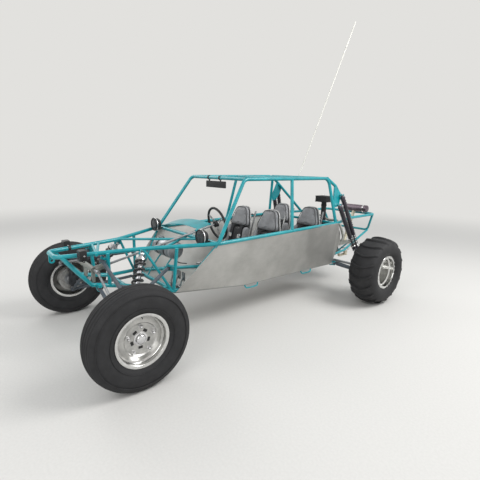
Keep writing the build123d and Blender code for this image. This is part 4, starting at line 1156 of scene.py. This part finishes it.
def flat_four():
    """Air-cooled flat four: split case, finned cylinders, rocker covers, fan shroud and belt drive."""
    shape = Shape()
    front, rear = ENGINE_STATION - 195, ENGINE_STATION + 195
    shape.slab((-118, 118), (front, rear), (395, 612), bevel=0.022)
    shape.slab((-92, 92), (front + 20, rear - 20), (382, 400), bevel=0.006)
    for k in range(9):
        y = front + 45 + k * 37
        shape.slab((-119.5, 119.5), (y - 4, y + 4), (410, 560), bevel=0.002)
    shape.slab((-3, 3), (front - 2, rear + 2), (396, 614), bevel=0.001)
    barrel = [(0.0, 0.050)]
    for k in range(14):
        x = 0.008 + k * 0.0088
        barrel += [(x, 0.050), (x + 0.0004, 0.071), (x + 0.0030, 0.071), (x + 0.0034, 0.050)]
    barrel += [(0.135, 0.050)]
    for sign in (1, -1):
        for station in CYLINDERS:
            shape.lathe(barrel, segments=48, turn=at(sign * 118, station, 540, (sign, 0, 0)))
        for k in range(6):
            x = 250 + k * 8.5
            shape.slab((x, x + 4), (ENGINE_STATION - 160, ENGINE_STATION + 160), (468, 612), sign,
                       bevel=0.001)
        shape.slab((252, 296), (ENGINE_STATION - 150, ENGINE_STATION + 150), (478, 602), sign, bevel=0.006)
        shape.slab((297, 319), (ENGINE_STATION - 152, ENGINE_STATION + 152), (470, 575), sign, kind=1,
                   bevel=0.010)
        shape.rod([(318, ENGINE_STATION - 110, 472), (323, ENGINE_STATION - 90, 520),
                   (323, ENGINE_STATION + 90, 520), (318, ENGINE_STATION + 110, 472)], 0.0025, mirror=sign,
                   sides=8, kind=2)
    fan_housing(shape)
    belt_drive(shape)
    # Intake manifold that reaches both heads
    half = [(268, ENGINE_STATION, 612), (255, ENGINE_STATION + 40, 690), (140, ENGINE_STATION + 60, 882)]
    shape.pipe([(-x, y, z) for x, y, z in half] + [(0, ENGINE_STATION + 62, 890)] + half[::-1], 0.018,
               sides=20)
    piece("flat_four_engine", shape, "chassis", "cast_alloy", CAST, CHROME, BLACK_STEEL,
          GOLD_ZINC, smooth=35, instead=["engine_block"])


FLANGE_X = 120
REAR_AXLE_Z = REAR_WHEEL[2]
GEARBOX_BEVEL = 0.016


def ribbed_transaxle():
    """Split gearbox case with cooling ribs, bolted side covers and a bell housing flange."""
    shape = Shape()
    shape.slab((-93, 93), (WHEELBASE - 128, WHEELBASE + 150), (388, 526), bevel=GEARBOX_BEVEL)
    shape.slab((-95, 95), (WHEELBASE + 148, WHEELBASE + 167), (385, 529), bevel=0.006)
    shape.slab((-92, 92), (WHEELBASE - 80, WHEELBASE + 160), (333, 392), bevel=0.012)
    shape.slab((-70, 70), (WHEELBASE - 132, WHEELBASE - 122), (404, 510), bevel=0.004)
    for k in range(8):
        y = WHEELBASE - 108 + 30 * k
        shape.slab((-94.8, 94.8), (y - 3, y + 3), (396, 529), bevel=0.0015)
    for k in range(6):
        x = -75 + 30 * k
        shape.slab((x - 3, x + 3), (WHEELBASE - 74, WHEELBASE + 154), (330.5, 340), bevel=0.001)
    for sign in (1, -1):
        flange = at(sign * 90, WHEELBASE, REAR_AXLE_Z, (sign, 0, 0))
        shape.lathe([(0.000, 0.046), (0.007, 0.046), (0.009, 0.040), (0.018, 0.030), (0.020, 0.030),
                     (0.021, 0.0455), (FLANGE_X * MM - 0.0905, 0.0455), (FLANGE_X * MM - 0.090, 0.044)],
                     segments=48, turn=flange,
                    kind=1)
        for angle in turns(8, 0.5):
            shape.screw(flange @ round_axle(0.0385, angle), 0.005, 0.0065, 0.0115, 2)
    for x in (-78, -26, 26, 78):
        shape.screw(at(x, WHEELBASE + 149, 519, (0, -1, 0)), 0.0065, 0.0, 0.005, 2, drop=0.0025)
    piece("ribbed_transaxle", shape, "chassis", "cast_alloy", CAST, STEEL, CHROME,
          instead=["transaxle"])


def exhaust():
    """Four header pipes gather under the tail and rise to a banded muffler."""
    shape = Shape()
    gather = place(160, ENGINE_STATION + 222, 566)
    for sign in (1, -1):
        for station, drop in zip(CYLINDERS, (-0.018, 0.018)):
            aside = 0.016 * sign
            run = [(274, station, 474), (276, station + 12, 430), (262, station + 60, 396),
                   (225, ENGINE_STATION + 195, 402)]
            shape.tube(smooth_run([place(sign * x, y, z) for x, y, z in run]
                                  + [gather + Vector((aside + sign * 0.045, -0.035, drop - 0.055)),
                                     gather + Vector((aside, 0.0, drop))]), 0.0185, sides=20)
    low, high = place(160, ENGINE_STATION + 216, 555), place(160, ENGINE_STATION + 430, 1040)
    length = (high - low).length
    shape.lathe([(0.000, 0.040), (0.012, 0.042), (0.050, 0.025), (length - 0.030, 0.0235),
                 (length - 0.028, 0.030), (length - 0.012, 0.030), (length - 0.010, 0.0235),
                 (length, 0.0235)], segments=40,
                turn=stand(low, high - low))
    can = at(-60, ENGINE_STATION + 430, 1075)
    shape.lathe([(0.000, 0.020), (0.000, 0.042), (0.003, 0.050), (0.012, 0.054), (0.020, 0.0535),
                 (0.420, 0.0535), (0.428, 0.054), (0.437, 0.050), (0.440, 0.042), (0.440, 0.020)], kind=1,
                 turn=can)
    for x in (0.055, 0.385):
        shape.band(x - 0.010, x + 0.010, 0.0536, 0.0556, kind=2, turn=can)
    for x in (0.12, 0.22, 0.32):
        shape.lathe([(x - 0.002, 0.0532), (x, 0.0545), (x + 0.002, 0.0532)], kind=1, turn=can)
    # Strap bracket from the can down to the tail bar of the cage
    for x in (20, 300):
        for reach, z0, z1 in ((449, 1012, 1040), (470, 1034, 1037)):
            shape.slab((x - 10, x + 10), (ENGINE_STATION + 446, ENGINE_STATION + reach), (z0, z1), kind=2,
                       bevel=0.001)
    piece("headers_and_muffler", shape, "chassis", "muffler_steel", EXHAUST, MUFFLER,
          CHROME, instead=["muffler"])


def air_filter():
    """Pleated filter box over its intake pipe, with a lid and wing nut."""
    shape = Shape()
    station = ENGINE_STATION - 130
    for z0, z1, bevel in ((1176, 1186, 0.004), (1254, 1265, 0.005)):
        shape.slab((-98, 98), (station - 93, station + 73), (z0, z1), bevel=bevel)
    pleats = [(k * 8 - 88, y) for k in range(23) for y in (station - 88, station + 68)]
    pleats += [(x, station - 80 + k * 7.9) for k in range(19) for x in (-92, 92)]
    for x, y in pleats:
        shape.rod([(x, y, 1186), (x, y, 1254)], 0.0042, sides=8, kind=1)
    shape.slab((-86, 86), (station - 82, station + 62), (1184, 1256), kind=1)
    shape.lathe([(0.000, 0.052), (0.006, 0.052), (0.010, 0.040), (0.060, 0.037), (0.064, 0.042),
                 (0.078, 0.042), (0.082, 0.037), (0.250, 0.037), (0.254, 0.042), (0.268, 0.042),
                 (0.272, 0.037), (0.312, 0.037)],
                segments=40, turn=at(0, station, 866, (0, 0, 1)))
    shape.lathe([(0.0, 0.004), (0.010, 0.004), (0.012, 0.007), (0.016, 0.004)], segments=16, kind=2,
                turn=at(0, station - 10, 1265, (0, 0, 1)))
    piece("air_filter", shape, "chassis", "black_plastic", BLACK_PLASTIC, BLACK_VINYL, CHROME,
          instead=["air_cleaner"])


ribbed_transaxle()
flat_four()
exhaust()
air_filter()


# Brakes and steering ends, tank, pedals and the rivets of the skins
ROTOR_R = 0.125
ROTOR_T = 0.010
ROTOR_X = -0.077            # of the rotor's inner face from the wheel's middle
KINGPIN_TOP = (790, 0, 600)
KINGPIN_LOW = (800, 0, 300)
STEER_ARM_END = (775, -110, 612)
WHOLE = (0, MIDDLE_STATION, 0)  # centre of shapes that are drawn in the buggy's own frame
# Grey cast iron with rust-brown film where the pads don't reach, and the swept face bright.
ROTOR_IRON = mottled("swept_cast_iron", "#8f8e8c", "#b9b8b5", 0.75, 0.28, 0.42, scale=34.0)
# Forged upright under dark paint that oil and dust have dulled.
UPRIGHT = mottled("oil_dark_forging", "#26282b", "#3b3e42", 0.3, 0.42, 0.6, scale=30.0)
# Anodised alloy: dark grey with a fine, even glint.
CALIPER_GREY = mottled("anodised_caliper", "#3e4144", "#5a5d61", 0.6, 0.35, 0.5, scale=26.0)
# Braided cover: matt black with a tiny weave.
HOSE = mottled("braided_hose_cover", "#1b1b1c", "#2b2b2c", 0.0, 0.5, 0.7, scale=60.0, grain=900.0)


def kingpin(share):
    return place(*KINGPIN_LOW).lerp(place(*KINGPIN_TOP), share)


def drilled_rotor(shape, inner, outer, low, high, count, hole, middle):
    """Flat ring with a circle of through holes; each sector's faces run from its hole to its border."""
    half = math.pi / count
    for centre in turns(count):
        holes, border = [], []
        for a in turns(16):
            c, d = math.cos(a), math.sin(a)
            holes.append((centre + hole * c / middle, middle + hole * d))
            reach = max(abs(c), abs(d))
            width = (outer - middle) if d > 0 else (middle - inner)
            border.append((centre + half * c / reach, middle + d / reach * width))
        shape.grid([[(x, r * math.cos(a), r * math.sin(a)) for a, r in line] for x, line in
                    ((high, border), (high, holes), (low, holes), (low, border))], kind=1)
    for radius in (inner, outer):
        shape.lathe([(low, radius), (high, radius)], segments=count * 4, kind=1, closed=True)


def front_hubs():
    """Hub barrel and wheel flange with a bolted, drilled disc."""
    shape = Shape()
    shape.lathe([(-0.082, 0.0206), (-0.082, 0.036), (-0.078, 0.042), (-0.060, 0.042), (-0.050, 0.036),
                 (-0.010, 0.036), (0.004, 0.044), (0.0078, 0.065), (0.0197, 0.065), (0.0197, 0.0206)],
                 segments=48, closed=True)
    drilled_rotor(shape, 0.072, ROTOR_R, ROTOR_X, ROTOR_X + ROTOR_T, 30, 0.0048, 0.101)
    shape.band(ROTOR_X + 0.001, ROTOR_X + 0.009, 0.041, 0.074, segments=60)
    for angle in turns(6):
        shape.screw(round_axle(0.063, angle), 0.0065, ROTOR_X + 0.0085, ROTOR_X + 0.015, 0, drop=0.0025)
    both_sides("front_hub_with_disc", shape, FRONT_WHEEL, "front_{}_wheel", "bare_steel",
               [STEEL, ROTOR_IRON], "front_{}_hub")


def front_knuckles():
    """Upright round the kingpin, spindle, steering arm with its pad, and a two-piston caliper."""
    shape = Shape()
    low, high = kingpin(0.07), kingpin(0.93)
    length = (high - low).length
    shape.lathe([(0.000, 0.017), (0.002, 0.020), (0.050, 0.020), (0.060, 0.018), (length - 0.060, 0.018),
                 (length - 0.050, 0.020), (length - 0.002, 0.020), (length, 0.017)], segments=40,
                turn=stand(low, high - low, (0, 1, 0)))
    shape.slab((777, 823), (-35, 35), (345, 455), bevel=0.014)
    shape.slab((784, 813), (-28, 28), (452, 520), bevel=0.012)
    low, high = kingpin(-0.09), kingpin(1.09)
    span = (high - low).length
    pin = stand(low, high - low, (0, 1, 0))
    shape.lathe([(0.000, 0.007), (0.001, 0.008), (span - 0.001, 0.008), (span, 0.007)], segments=24, kind=1,
                turn=pin)
    for x in (0.0015, span - 0.0105):
        shape.lathe([(x, 0.0125), (x + 0.001, 0.014), (x + 0.008, 0.014), (x + 0.009, 0.0125)], segments=6,
                    kind=1, turn=pin)
    shape.lathe([(0.000, 0.033), (0.026, 0.033), (0.029, 0.030), (0.029, 0.020), (0.097, 0.020),
                 (0.098, 0.018)],
                segments=40, turn=at(800, 0, 400))
    x, station, z = STEER_ARM_END
    shape.tube(smooth_run([kingpin(0.80), place(796, -30, 560), place(786, -80, 580),
                           place(x, station, z - 30)]),
               0.0125, sides=20)
    shape.lathe([(0.000, 0.015), (0.002, 0.017), (0.012, 0.017), (0.014, 0.015)], segments=32, kind=1,
                turn=at(x, station, z - 34, (0, 0, 1)))
    # Caliper on its bracket
    shape.slab((804, 820), (26, 114), (376, 424), bevel=0.004)
    for x0, x1 in ((811, 829), (851, 869)):
        shape.slab((x0, x1), (89, 151), (352, 448), kind=2, bevel=0.007)
    for z0, z1 in ((352, 380), (388, 412), (420, 448)):
        shape.slab((813, 867), (137, 151), (z0, z1), kind=2, bevel=0.004)
    for z in (378, 422):
        shape.lathe([(0.0, 0.019), (0.006, 0.019), (0.009, 0.016)], segments=32, kind=2,
                    turn=at(812, 113, z, (-1, 0, 0)))
        shape.screw(at(811, 142, z + 14, (-1, 0, 0)), 0.006, 0.0, 0.006, 1)
    shape.pipe([(808, 120, 440), (796, 118, 470), (770, 90, 500), (748, 62, 520)], 0.0045, sides=12, kind=3)
    both_sides("front_knuckle_with_caliper", shape, WHOLE, "{}_knuckle", "bare_steel",
               [UPRIGHT, STEEL, CALIPER_GREY, HOSE], "{}_knuckle")


TANK_R = 0.090
TANK_LENGTH = 0.380


def spun_tank():
    """Round tank with dished ends, swaged bands, two straps and a filler."""
    shape = Shape()
    turn = stand(place(-230, 760, 800), (1, 0, 0), (0, 0, 1))
    half = [(0.000, 0.0), (0.001, 0.040), (0.004, 0.068), (0.012, 0.082), (0.022, 0.089), (0.030, TANK_R),
            (0.060, TANK_R), (0.063, 0.0875), (0.069, 0.0875), (0.072, TANK_R)]
    far = [(TANK_LENGTH - x, r) for x, r in reversed(half)]
    far[5] = (TANK_LENGTH - 0.022, 0.089)
    shape.lathe(half + far, segments=72, turn=turn)
    for x in (0.110, 0.270):
        shape.band(x - 0.012, x + 0.012, 0.0902, 0.0916, segments=72, kind=1, turn=turn)
        shape.block((x - 0.010, 0.089, -0.009), (x + 0.010, 0.100, 0.009), kind=1, turn=turn, bevel=0.002)
        shape.tube([turn @ Vector((x, 0.096, -0.017)), turn @ Vector((x, 0.096, 0.017))], 0.003, sides=8,
                   kind=2)
    shape.lathe([(0.000, 0.026), (0.008, 0.026), (0.009, 0.031), (0.016, 0.031), (0.018, 0.028),
                 (0.018, 0.0)],
                segments=40, kind=2, turn=at(-170, 760, 888, (0, 0, 1)))
    shape.pipe([(120, 760, 716), (122, 770, 690), (118, 820, 660), (112, 900, 640)], 0.0055, sides=12,
               kind=1)
    piece("strapped_fuel_tank", shape, "chassis", "tank_grey", TANK, BLACK_PLASTIC, STEEL,
          instead=["fuel_tank"])


PEDAL_SHAFT = (661, 503)    # station and height


def foot_pedals():
    """Three hung pedals with ribbed rubber pads on bent arms."""
    shape = Shape()
    for x, width in ((200, 56), (290, 58), (380, 46)):
        half = width / 2
        shape.slab((x - half, x + half), (695, 700), (560, 640), kind=1, bevel=0.002)
        shape.slab((x - half - 1, x + half + 1), (699, 705), (559, 641), bevel=0.002)
        for k in range(7):
            z = 567 + 11 * k
            shape.slab((x - half + 4, x + half - 4), (704, 706.5), (z - 2.5, z + 2.5), bevel=0.0008)
        shape.pipe([(x, 696, 606), (x, 684, 572), (x, 670, 532), (x, 660, 500)], 0.0075, sides=16, kind=1)
        shape.pin(at(x, *PEDAL_SHAFT), 0.014, 0.011, 0.001, 0.002, segments=24, kind=1)
    # Cross shaft on two stands that rise from the floor
    shape.rod([(182, *PEDAL_SHAFT), (408, *PEDAL_SHAFT)], 0.0085, sides=20, kind=1)
    for x in (236, 342):
        shape.slab((x - 3, x + 3), (640, 682), (479, 514), kind=1, bevel=0.002)
        shape.slab((x - 16, x + 16), (640, 682), (478.5, 482), kind=1, bevel=0.001)
    piece("hung_pedals", shape, "chassis", "black_plastic", RUBBER, STEEL, instead=["pedals"])


PANEL_LOW_X = 451
PANEL_LOW_Z = 385
PANEL_LEAN = 0.29
# Station and height of the panel's corners, from the nose end of its upper edge
PANEL_EDGE = [(952, 932), (3072, 978), (3052, 385), (1400, 393), (558, 500)]
PANEL_T = -0.2
RIVET_PITCH = 74
RIVET_INSET = 13


def skin_rivets():
    """Domed rivets along the borders of both side panels."""
    shape = Shape()
    out = Vector((1, 0, -PANEL_LEAN)).normalized()
    corners = [Vector((station, z, 0)) for station, z in PANEL_EDGE]
    middle = sum(corners, Vector()) / len(corners)
    for number, a in enumerate(corners):
        b = corners[(number + 1) % len(corners)]
        way = (b - a).normalized()
        inward = Vector((-way.y, way.x, 0))
        if inward.dot(middle - a) < 0:
            inward = -inward
        count = max(2, round((b - a).length / RIVET_PITCH))
        for k in range(count):
            spot = a.lerp(b, (k + 0.5) / count) + inward * RIVET_INSET
            foot = place(PANEL_LOW_X + (spot.y - PANEL_LOW_Z) * PANEL_LEAN, spot.x,
                         spot.y) + out * (PANEL_T * MM)
            shape.lathe([(0.0, 0.0048), (0.0007, 0.0046), (0.0014, 0.0036), (0.0019, 0.0)], segments=10,
                        turn=stand(foot, out))
    both_sides("panel_rivets", shape, WHOLE, "chassis", "bare_aluminium", [SILVER_PAINT])


front_hubs()
front_knuckles()
spun_tank()
foot_pedals()
skin_rivets()

# Stands and steps that are welded to the frame
def frame_fittings():
    """Tank stand, engine cradle and the low step loops, all of small teal tube."""
    shape = Shape()
    for x in (-150, 80):
        shape.pipe([(x, 586, 508), (x, 640, 590), (x, 700, 668), (x, 738, 709)], 0.008, sides=16)
    shape.slab((118, 136), (748, 772), (889, 910), bevel=0.003)
    for sign in (1, -1):
        shape.rod([(116, WHEELBASE + 250, 404), (356, WHEELBASE + 262, 493)], 0.013, mirror=sign, sides=20)
        shape.slab((112, 124), (WHEELBASE + 226, WHEELBASE + 274), (396, 424), sign, bevel=0.003)
        for middle in (1524, 2452):
            half = [(444, middle - 96, 384), (452, middle - 84, 362), (456, middle - 60, 352)]
            shape.pipe(half + [(x, 2 * middle - y, z) for x, y, z in reversed(half)], 0.008, mirror=sign,
                       sides=16)
    piece("stands_and_steps", shape, "chassis", "teal_paint", TEAL)


frame_fittings()
